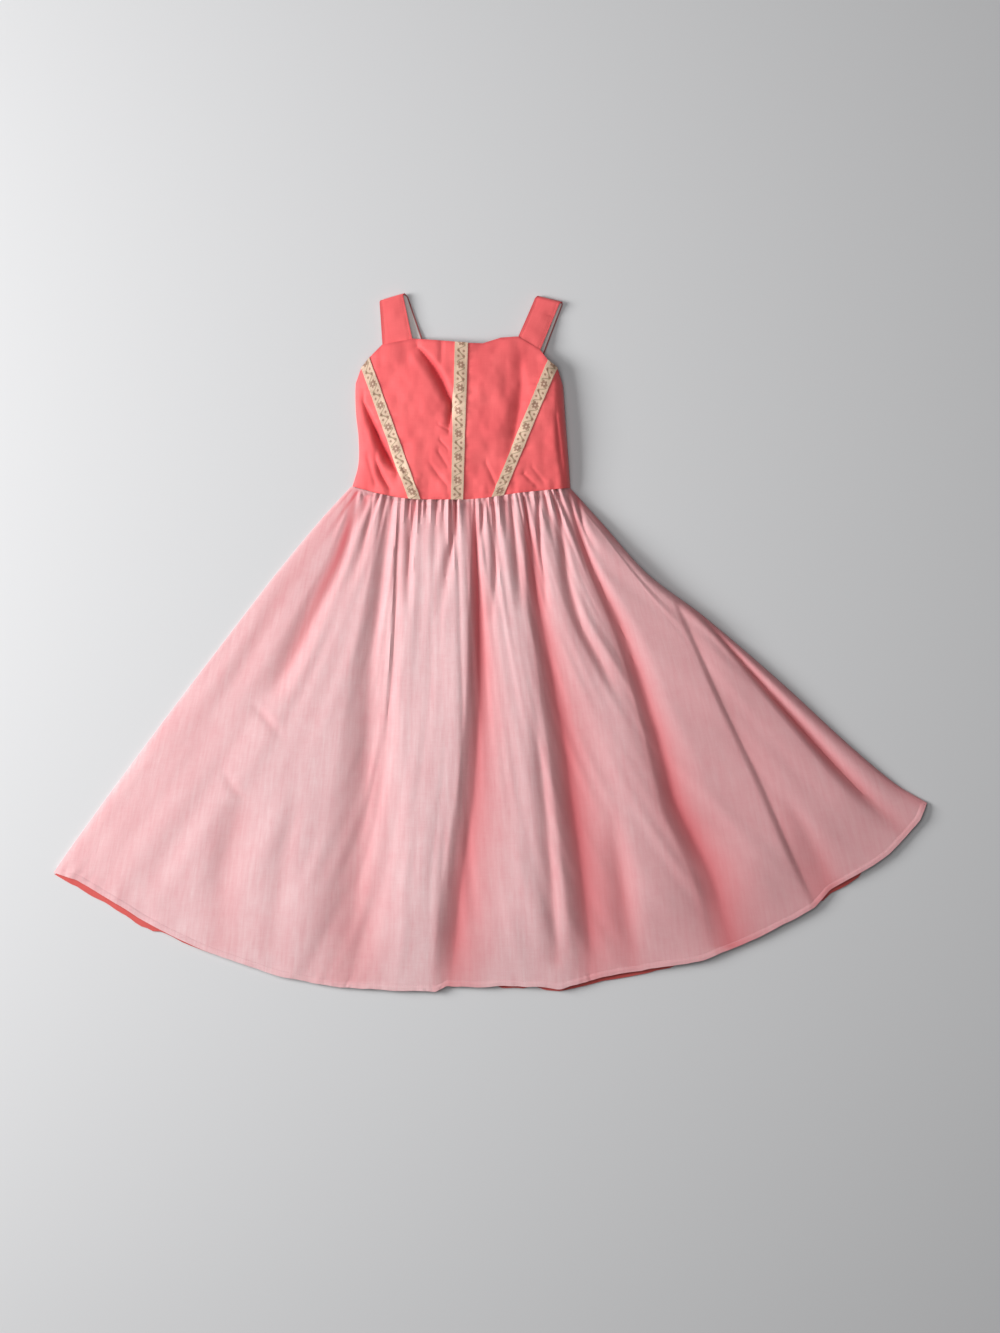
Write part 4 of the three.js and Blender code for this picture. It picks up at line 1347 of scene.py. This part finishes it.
    def columns(self) -> tuple[Array, Array, dict[str, int]]:
        """The columns' x at the waist and point at the top edge, and each line's first column."""
        waist, tops, starts = [], [], {}
        for line, following in zip(self.lines, (*self.lines[1:], self.lines[-1]), strict=True):
            starts[line.name] = len(waist)
            for cell in range(max(1, line.cells)):
                share = cell / line.cells if line.cells else 0.0
                waist.append(mix(line.waist, following.waist, share))
                tops.append([mix(a, b, share) for a, b in zip(line.top, following.top, strict=True)])
        return np.array(waist), np.array(tops), starts

    def front(self) -> tuple[Sheet, dict[str, int]]:
        """The bodice's front, from its top edge down to the waist seam, and each line's first column."""
        waist, tops, starts = self.columns()
        down = (np.arange(self.rows + 1) / self.rows)[:, None]
        bottom = self.skirt.waist_line(waist) + SEAM_GAP / 2
        y = mix(tops[:, 1], bottom, down)
        x = mix(tops[:, 0], waist, down)
        left, right = self.side(self.left_side, y), self.side(self.right_side, y)
        x[:, -1] = np.maximum(x[:, -1], right[:, -1])
        fade = np.clip(1 - np.arange(x.shape[1]) / starts["left trim, outer edge"], 0, 1)
        x += (left[:, :1] - x[:, :1]) * fade
        height = self.height(x, y)
        fine, soft = Ripples(53), Ripples(61)
        above = y - self.skirt.waist_line(x)
        inside = smooth(0, 14, np.minimum(x - left, right - x))
        wrinkle = 1.6 * soft.at(x / 26, y / 34) + 0.75 * soft.at(x / 12 + 7, y / 16)
        wrinkle += 0.28 * fine.at(x / 7, y / 9)
        pull = self.pull_height * fine.at(x / 6.5, y / 40) * np.exp(-above / self.pull_reach)
        height += (wrinkle + pull) * inside
        height += self.pucker(x, y, starts, fine) * inside
        depth = folds_depth(self.folds, x, y)
        points = np.stack([x, y, height], -1)
        # Painted shade: the coral darkens in the folds and in narrow bands along the top edge and the waist
        # seam, where shade falls.
        at_top, at_waist = (
            shade * np.exp(-((distance / self.shade_reach) ** 2))
            for shade, distance in zip(self.seam_shade, (tops[:, 1] - y, above), strict=True)
        )
        painted_shade = np.clip(depth / self.shade_depth + at_top + at_waist, 0, 1)
        sheet = Sheet(points, np.stack([x, y], -1), {"painted_shade": painted_shade})
        return sheet, starts

    def pucker(self, x: Array, y: Array, starts: dict[str, int], fine: Ripples) -> Array:
        """Small puckers where the ribbons are stitched down.

        Args:
            x: places across.
            y: places along.
            starts: each line's first column.
            fine: the ripples that make them uneven.

        Returns:
            Their height, next to the ribbons alone.
        """
        total = np.zeros_like(x)
        for name, number in starts.items():
            if "trim" in name:
                away = np.abs(x - x[:, number][:, None])
                fading = np.exp(-((away / self.pucker_reach) ** 2))
                total += self.pucker_height * fine.at(y / 4.2, x / 30 + number) * fading
        return total

    def ribbon(self, sheet: Sheet, first: int, last: int) -> Sheet:
        """One band of ribbon, on the columns of the front that it covers.

        Args:
            sheet: the bodice's front.
            first: its first column.
            last: its last column.

        Returns:
            The ribbon's sheet, with its own coordinates across and along.
        """
        band = sheet.lifted(WALL / 2 + SEAM_GAP + TRIM_WALL / 2).part(slice(first, last + 1))
        across = np.linalg.norm(np.diff(band.points, axis=1), axis=2).cumsum(axis=1)
        across = np.pad(across, ((0, 0), (1, 0)))
        middle = band.points[:, (last - first) // 2]
        along = np.append(0, np.linalg.norm(np.diff(middle, axis=0), axis=1).cumsum())
        band.uv = np.stack([across - across[:, -1:] / 2, np.broadcast_to(along[:, None], across.shape)], -1)
        return band

    def back_half(self, side: int) -> Sheet:
        """One half of the back, flat on the surface: side is -1 for the left half and 1 for the right."""
        centre = self.centre_back + side * SEAM_GAP / 2
        table = self.left_side if side < 0 else self.right_side
        outer_waist = (self.lines[0].waist if side < 0 else self.lines[-1].waist) - side * self.back_inset
        corners = [(centre, self.back_top), *self.back_corners[side]]
        share = np.linspace(0, 1, 41)
        lengths = np.append(0, np.cumsum([math.dist(a, b) for a, b in zip(corners, corners[1:])]))
        top_x = np.interp(share * lengths[-1], lengths, [corner[0] for corner in corners])
        top_y = np.interp(share * lengths[-1], lengths, [corner[1] for corner in corners])
        waist_x = mix(centre, outer_waist, share)
        waist_y = self.skirt.waist_line(waist_x) + 0.35
        down = np.linspace(0, 1, 41)[:, None]
        x, y = mix(top_x, waist_x, down), mix(top_y, waist_y, down)
        edge = self.side(table, y[:, -1]) - side * self.back_inset
        x += (edge - x[:, -1])[:, None] * share**3
        points = np.stack([x, y, np.full_like(x, BACK_MIDDLE)], -1)
        if side < 0:
            points = points[:, ::-1]
        return Sheet(points, points[..., :2].copy(), {"painted_shade": np.zeros_like(x)})


@dataclass(frozen=True)
class StrapCorners:
    """A strap's left and right edges at its four places, as seen from above."""

    name: str
    front_base: tuple[Point, Point]
    front_fold: tuple[Point, Point]
    back_fold: tuple[Point, Point]
    back_base: tuple[Point, Point]


@dataclass
class Strap:
    """A strap: one band from the bodice's back up to a fold and down to the bodice's front."""

    corners: StrapCorners
    bodice: Bodice
    turn: float = 2.7
    tuck: float = 9
    clear: float = 0.4

    def moved(self, first: Array, second: Array, distance: float) -> Array:
        """A pair of edge points, moved towards another pair by a distance."""
        return mix(first, second, distance / np.linalg.norm(second[0] - first[0]))

    def under_front(self, pair: Array) -> Array:
        """Heights at which the strap's middle lies behind the bodice's front."""
        return self.bodice.height(pair[:, 0], pair[:, 1]) - (WALL + STRAP_WALL) / 2 - self.clear

    def sheet(self) -> Sheet:
        """The strap's sheet, with sections from its back end to its front end."""
        back_base, back_fold = np.array(self.corners.back_base), np.array(self.corners.back_fold)
        front_base, front_fold = np.array(self.corners.front_base), np.array(self.corners.front_fold)
        on_surface = STRAP_WALL / 2
        above_turn = on_surface + 2 * self.turn
        on_back = WALL + SEAM_GAP + STRAP_WALL / 2
        back_end = self.moved(back_base, back_fold, -self.tuck)
        front_end = self.moved(front_base, front_fold, -self.tuck)
        sections: list[tuple[Array, Array]] = []
        for up in np.linspace(0, 0.93, 26):
            rise = curve_at((0, 0.13, 0.3, 0.45, 1), (1, 1, 0.5, 0, 0), up)
            sections.append((mix(back_end, back_fold, up), np.full(2, mix(on_surface, on_back, rise))))
        for angle in np.linspace(-90, 90, 19):
            short = self.turn * (1 - math.cos(math.radians(angle)))
            turned = (1 + math.sin(math.radians(angle))) / 2
            back = self.moved(back_fold, back_base, short)
            front = self.moved(front_fold, front_base, short)
            level = np.full(2, mix(on_surface, above_turn, turned))
            sections.append((mix(back, front, 0.5 + angle / 180), level))
        for down in np.linspace(0.08, 1, 30):
            rise = curve_at((0, 0.22, 0.42, 0.62, 0.81, 1), (0, 0.2, 0.4, 0.6, 0.9, 1), down)
            pair = mix(front_fold, front_base, down)
            sections.append((pair, mix(above_turn, self.under_front(pair), rise)))
        sections.append((front_end, self.under_front(front_end)))
        pairs = np.array([section[0] for section in sections])
        heights = np.array([section[1] for section in sections])
        share = np.linspace(0, 1, 25)
        flat = mix(pairs[:, None, 0], pairs[:, None, 1], share[:, None])
        z = mix(heights[:, :1], heights[:, 1:], share)
        points = np.concatenate([flat, z[..., None]], -1)
        steps = np.linalg.norm(np.diff(points[:, 12], axis=0), axis=1)
        along = np.append(0, steps.cumsum())[:, None]
        width = np.linalg.norm(pairs[:, 1] - pairs[:, 0], axis=1)[:, None]
        across = (share - 0.5) * width
        edge = np.broadcast_to(np.abs(share - 0.5) * 2, across.shape).copy()
        half = along.max() / 2
        middle = smooth(half, half + 12, along) * (1 - smooth(2 * half - 14, 2 * half, along))
        crown = 0.5 * (1 - edge**2) - 0.35 * np.exp(-(((edge - 0.8) / 0.06) ** 2))
        wrinkle = 0.35 * Ripples(71).at(across / 11 + 9, along / 13)
        uv = np.stack([across, np.broadcast_to(along, across.shape)], -1)
        # Painted shade: the strap darkens along its two edges and across the top of its fold, where shade
        # falls.
        painted_shade = 0.45 * smooth(0.8, 1, edge) + 0.4 * np.exp(-(((along - half) / 5) ** 2))
        sheet = Sheet(points, uv, {"painted_shade": painted_shade, "edge": edge})
        return sheet.lifted((crown + wrinkle) * middle)


@dataclass
class Stitching:
    """Rows of stitches: one stitch is modelled and then copied along a row."""

    length: float = 2.1
    pitch: float = 3.0
    radius: float = 0.24

    def stitch(self) -> tuple[Array, list[list[int]]]:
        """Models one stitch along X: a short six-sided thread with its ends drawn in.

        Returns:
            Its points in millimetres and its faces.
        """
        bpy.ops.object.select_all(action="DESELECT")
        bpy.ops.mesh.primitive_cylinder_add(
            vertices=6,
            radius=self.radius * MM,
            depth=self.length * 0.6 * MM,
            end_fill_type="NGON",
            rotation=(0, math.pi / 2, 0),
        )
        piece = bpy.context.object
        bpy.ops.object.transform_apply(location=True, rotation=True, scale=True)
        for side in (-1, 1):
            bpy.ops.object.mode_set(mode="EDIT")
            bpy.ops.mesh.select_all(action="DESELECT")
            bpy.ops.object.mode_set(mode="OBJECT")
            for face in piece.data.polygons:
                face.select = face.normal.x * side > 0.9
            bpy.ops.object.mode_set(mode="EDIT")
            move = (side * self.length * 0.2 * MM, 0, -self.radius * 0.6 * MM)
            bpy.ops.mesh.extrude_region_move(TRANSFORM_OT_translate={"value": move})
            bpy.ops.transform.resize(value=(1, 0.45, 0.45))
            bpy.ops.object.mode_set(mode="OBJECT")
        points = np.array([v.co for v in piece.data.vertices]) / MM
        faces = [list(face.vertices) for face in piece.data.polygons]
        bpy.data.objects.remove(piece)
        return points, faces

    def row(self, sheet: Sheet, rows: Array, columns: Array, lift: float) -> tuple[Array, Array, Array]:
        """Places of the stitches along a line on a sheet.

        Args:
            sheet: the sheet that is stitched.
            rows: the line's places in rows of the sheet.
            columns: its places in columns.
            lift: how far above the sheet's middle the thread lies.

        Returns:
            Each stitch's place, its direction and the cloth's normal there.
        """
        dense = np.linspace(0, len(rows) - 1, 40 * len(rows))
        r = np.interp(dense, np.arange(len(rows)), rows)
        c = np.interp(dense, np.arange(len(rows)), columns)
        line = bilinear(sheet.points, r, c)
        normal = bilinear(sheet.normals(), r, c)
        length = np.append(0, np.linalg.norm(np.diff(line, axis=0), axis=1).cumsum())
        at = np.arange(self.pitch, length[-1] - self.pitch / 2, self.pitch)

        def read(values: Array, where: Array) -> Array:
            """Values along the line at distances."""
            return np.stack([np.interp(where, length, values[:, k]) for k in range(3)], -1)

        place = read(line + normal * lift, at)
        ahead = read(line, at + 0.5 * self.length) - read(line, at - 0.5 * self.length)
        return place, ahead, read(normal, at)

    def build(
        self, name: str, lines: Sequence[tuple[Array, Array, Array]], finish: bpy.types.Material
    ) -> bpy.types.Object:
        """Copies the stitch to every place of the lines, in one mesh.

        Args:
            name: the piece's name.
            lines: what row() returned for each line.
            finish: the thread's material.

        Returns:
            The new object.
        """
        points, faces = self.stitch()
        place, ahead, normal = (np.concatenate(parts) for parts in zip(*lines, strict=True))
        ahead = ahead / np.linalg.norm(ahead, axis=1, keepdims=True)
        side = np.cross(normal, ahead)
        side /= np.linalg.norm(side, axis=1, keepdims=True)
        up = np.cross(ahead, side)
        axes = np.stack([ahead, side, up], 1)
        placed = place[:, None] + np.einsum("pk,skm->spm", points, axes)
        mesh = bpy.data.meshes.new(name)
        copies = [[v + n * len(points) for v in face] for n in range(len(place)) for face in faces]
        mesh.from_pydata((placed.reshape(-1, 3) * MM).tolist(), [], copies)
        mesh.materials.append(finish)
        piece = link(bpy.data.objects.new(name, mesh))
        bpy.ops.object.shade_smooth()
        return piece


def bilinear(grid: Array, rows: Array, columns: Array) -> Array:
    """Reads a grid of vectors between its points.

    Args:
        grid: rows by columns of vectors.
        rows: places in rows.
        columns: places in columns.

    Returns:
        The vector at each place.
    """
    r = np.clip(np.floor(rows).astype(int), 0, grid.shape[0] - 2)
    c = np.clip(np.floor(columns).astype(int), 0, grid.shape[1] - 2)
    s, t = (rows - r)[:, None], (columns - c)[:, None]
    return mix(mix(grid[r, c], grid[r, c + 1], t), mix(grid[r + 1, c], grid[r + 1, c + 1], t), s)


@dataclass(frozen=True)
class Finishes:
    """Every material of the garment."""

    chambray: bpy.types.Material
    coral: bpy.types.Material
    lining: bpy.types.Material
    ribbon: bpy.types.Material
    facing: bpy.types.Material
    pink_thread: bpy.types.Material
    coral_thread: bpy.types.Material
    cream_thread: bpy.types.Material


def make_finishes() -> Finishes:
    """Builds the materials."""
    return Finishes(
        chambray=Chambray().build(),
        coral=CoralCotton("coral_cotton").build(),
        lining=CoralCotton(
            "lining_cotton", light=(0.64, 0.12, 0.105), dark=(0.55, 0.08, 0.075), gloss=0.1
        ).build(),
        ribbon=JacquardRibbon().build(),
        facing=StrapFacing().build(),
        pink_thread=Thread("pink_thread", (0.72, 0.42, 0.44)).build(),
        coral_thread=Thread("coral_thread", (0.75, 0.12, 0.12)).build(),
        cream_thread=Thread("cream_thread", (0.70, 0.52, 0.36)).build(),
    )


@dataclass
class Dress:
    """The whole garment: builds every piece and places it in the frame."""

    finishes: Finishes
    skirt: Skirt = field(default_factory=Skirt)
    thread_lift: float = 0.05
    hem_tilt: float = 0.2

    def shift(self) -> Array:
        """The move from places on the table to the frame, from where the skirt's front lies in it."""
        low, high = (np.array(corner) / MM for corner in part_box("skirt_front"))
        steps = np.linspace(0, len(self.skirt.lines) - 1, 400)
        hem_x, hem_y, _ = self.skirt.plan(steps, np.ones_like(steps))
        lowest_y = hem_y.min() - self.hem_tilt * WALL / 2
        return np.array([(low[0] + high[0]) / 2 - (hem_x.min() + hem_x.max()) / 2, low[1] - lowest_y, 0.0])

    def place(self, sheet: Sheet) -> Sheet:
        """A sheet moved into the frame."""
        return Sheet(sheet.points + self.shift(), sheet.uv, sheet.values)

    def add(self, piece: bpy.types.Object, slot: Slot, nodes: Sequence[str] = ()) -> bpy.types.Object:
        """Ties a piece to the garment's body and reports it.

        Args:
            piece: the piece.
            slot: the material slot that it is reported under.
            nodes: the solids that it stands for.

        Returns:
            The piece.
        """
        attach(piece, "root")
        if nodes:
            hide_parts(*nodes)
        LOG.info("%s: %d faces, slot %s", piece.name, len(piece.data.polygons), slot.value)
        return piece

    def build(self) -> None:
        """Builds the skirt, the bodice, the straps and the stitching."""
        stitching = Stitching()
        bodice = Bodice(self.skirt)
        front = self.place(self.skirt.front())
        bodice_front, starts = bodice.front()
        bodice_front = self.place(bodice_front)
        self.build_skirt(front, stitching)
        self.build_bodice(bodice, bodice_front, starts, stitching)
        self.build_straps(bodice, stitching)

    def build_skirt(self, front: Sheet, stitching: Stitching) -> None:
        """Builds the skirt's three layers and its hem stitches.

        Args:
            front: the front's sheet.
            stitching: makes the stitches.
        """
        cloth = front.build("skirt_front_cloth", WALL, [self.finishes.chambray])
        self.add(cloth, Slot.SKIRT, ["skirt_front"])
        places = self.skirt.row_places()
        stitched = 1 - self.skirt.hem_form.stitches / self.skirt.length
        row = np.interp(stitched, places, np.arange(len(places)))
        columns = np.arange(6, front.points.shape[1] - 6, 2.0)
        lines = [stitching.row(front, np.full_like(columns, row), columns, WALL / 2 + self.thread_lift)]
        hem = stitching.build("skirt_hem_stitches", lines, self.finishes.pink_thread)
        self.add(hem, Slot.SKIRT)
        sheet = self.place(self.skirt.lining())
        lining = sheet.build("skirt_lining_cloth", LINING_WALL, [self.finishes.lining])
        self.add(lining, Slot.LINING, ["skirt_lining"])
        back = self.place(self.skirt.back()).build("skirt_back_cloth", WALL, [self.finishes.chambray])
        self.add(back, Slot.SKIRT, ["skirt_back"])

    def build_bodice(
        self, bodice: Bodice, front: Sheet, starts: dict[str, int], stitching: Stitching
    ) -> None:
        """Builds the bodice's front, its ribbons and its back.

        Args:
            bodice: the bodice's form.
            front: the front's sheet.
            starts: each line's first column.
            stitching: makes the stitches.
        """
        cloth = front.build("bodice_front_cloth", WALL, [self.finishes.coral])
        self.add(cloth, Slot.BODICE, ["bodice_front"])
        bands = {
            "trim_left": ("left trim, outer edge", "left trim, inner edge"),
            "trim_centre": ("centre trim, left edge", "centre trim, right edge"),
            "trim_right": ("right trim, inner edge", "right trim, outer edge"),
        }
        rows = np.arange(0, front.points.shape[0], 3.0)
        lines = []
        for node, (first, last) in bands.items():
            band = bodice.ribbon(front, starts[first], starts[last])
            piece = band.build(f"{node}_ribbon", TRIM_WALL, [self.finishes.ribbon])
            self.add(piece, Slot.TRIM, [node])
            width = band.points.shape[1] - 1
            for column in (0.07 * width, 0.93 * width):
                columns = np.full_like(rows, column)
                lines.append(stitching.row(band, rows, columns, TRIM_WALL / 2 + self.thread_lift))
        threads = self.add(stitching.build("ribbon_stitches", lines, self.finishes.cream_thread), Slot.TRIM)
        for node, side in {"bodice_back_left": -1, "bodice_back_right": 1}.items():
            half = self.place(bodice.back_half(side)).build(f"{node}_cloth", WALL, [self.finishes.coral])
            self.add(half, Slot.BODICE, [node])

    def build_straps(self, bodice: Bodice, stitching: Stitching) -> None:
        """Builds both straps and their edge stitches.

        Args:
            bodice: the bodice's form, which the straps go in behind.
            stitching: makes the stitches.
        """
        left = StrapCorners(
            "strap_left",
            front_base=((-138.5, 385.5), (-99.5, 392.5)),
            front_fold=((-142.5, 444), (-112.5, 453)),
            back_fold=((-137, 442.5), (-106.5, 451.5)),
            back_base=((-124, 378), (-84, 386)),
        )
        right = StrapCorners(
            "strap_right",
            front_base=((37.5, 395.5), (66, 378.5)),
            front_fold=((60.5, 449), (92, 441.5)),
            back_fold=((66, 449), (96.5, 441)),
            back_base=((38, 386), (71, 374)),
        )
        for corners in (left, right):
            sheet = self.place(Strap(corners, bodice).sheet())
            faces = [self.finishes.coral, self.finishes.facing]
            cloth = sheet.build(f"{corners.name}_band", STRAP_WALL, faces)
            self.add(cloth, Slot.BODICE, [corners.name])
            rows = np.arange(46.0, sheet.points.shape[0] - 3, 2.0)
            lift = STRAP_WALL / 2 + self.thread_lift
            lines = [stitching.row(sheet, rows, np.full_like(rows, column), lift) for column in (2.4, 21.6)]
            threads = stitching.build(f"{corners.name}_stitches", lines, self.finishes.coral_thread)
            self.add(threads, Slot.BODICE)


@dataclass
class Studio:
    """The pale surface, the soft lights and the camera straight above."""

    frame_height: float = 1.733
    camera_height: float = 6.0
    centre: Point = (0.01235, -0.0312)
    floor_side: float = 10.0

    def floor(self) -> None:
        """A plain pale surface just under the garment."""
        bpy.ops.object.select_all(action="DESELECT")
        bpy.ops.mesh.primitive_plane_add(size=self.floor_side, location=(0, 0, -0.0002))
        plane = bpy.context.object
        plane.name = "floor"
        shader = Shader("pale_surface")
        plane.data.materials.append(shader.finish({"Base Color": (0.60, 0.60, 0.607, 1.0), "Roughness": 0.9}))

    def lights(self) -> None:
        """A soft key light from the upper left and a weak even fill."""
        self.area("key", (-3.0, 0.4, 1.5), 1.5, 160.0)
        self.area("top", (-0.3, 0.2, 2.2), 1.6, 19.5)
        world = bpy.data.worlds.new("studio")
        world.use_nodes = True
        background = world.node_tree.nodes["Background"]
        background.inputs["Color"].default_value = (0.95, 0.97, 1.0, 1.0)
        background.inputs["Strength"].default_value = 0.085
        bpy.context.scene.world = world
        bpy.context.scene.view_settings.view_transform = "Standard"

    def area(self, name: str, place: tuple[float, float, float], size: float, power: float) -> None:
        """Adds an area light that points at the garment."""
        data = bpy.data.lights.new(name, "AREA")
        data.shape = "SQUARE"
        data.size = size
        data.energy = power
        lamp = bpy.data.objects.new(name, data)
        lamp.location = place
        lamp.rotation_euler = (-Vector(place)).to_track_quat("-Z", "Y").to_euler()
        bpy.context.scene.collection.objects.link(lamp)

    def camera(self) -> None:
        """A camera that looks straight down."""
        data = bpy.data.cameras.new("camera")
        data.sensor_width = 36.0
        data.lens = data.sensor_width * self.camera_height / self.frame_height
        data.clip_end = 50.0
        camera = bpy.data.objects.new("camera", data)
        camera.location = (*self.centre, self.camera_height)
        bpy.context.scene.collection.objects.link(camera)
        bpy.context.scene.camera = camera


def main() -> None:
    """Builds the studio and the dress."""
    logging.basicConfig(level=logging.INFO, format="%(name)s: %(message)s")
    studio = Studio()
    studio.camera()
    studio.lights()
    studio.floor()
    Dress(make_finishes()).build()


if __name__ == "__main__":
    main()
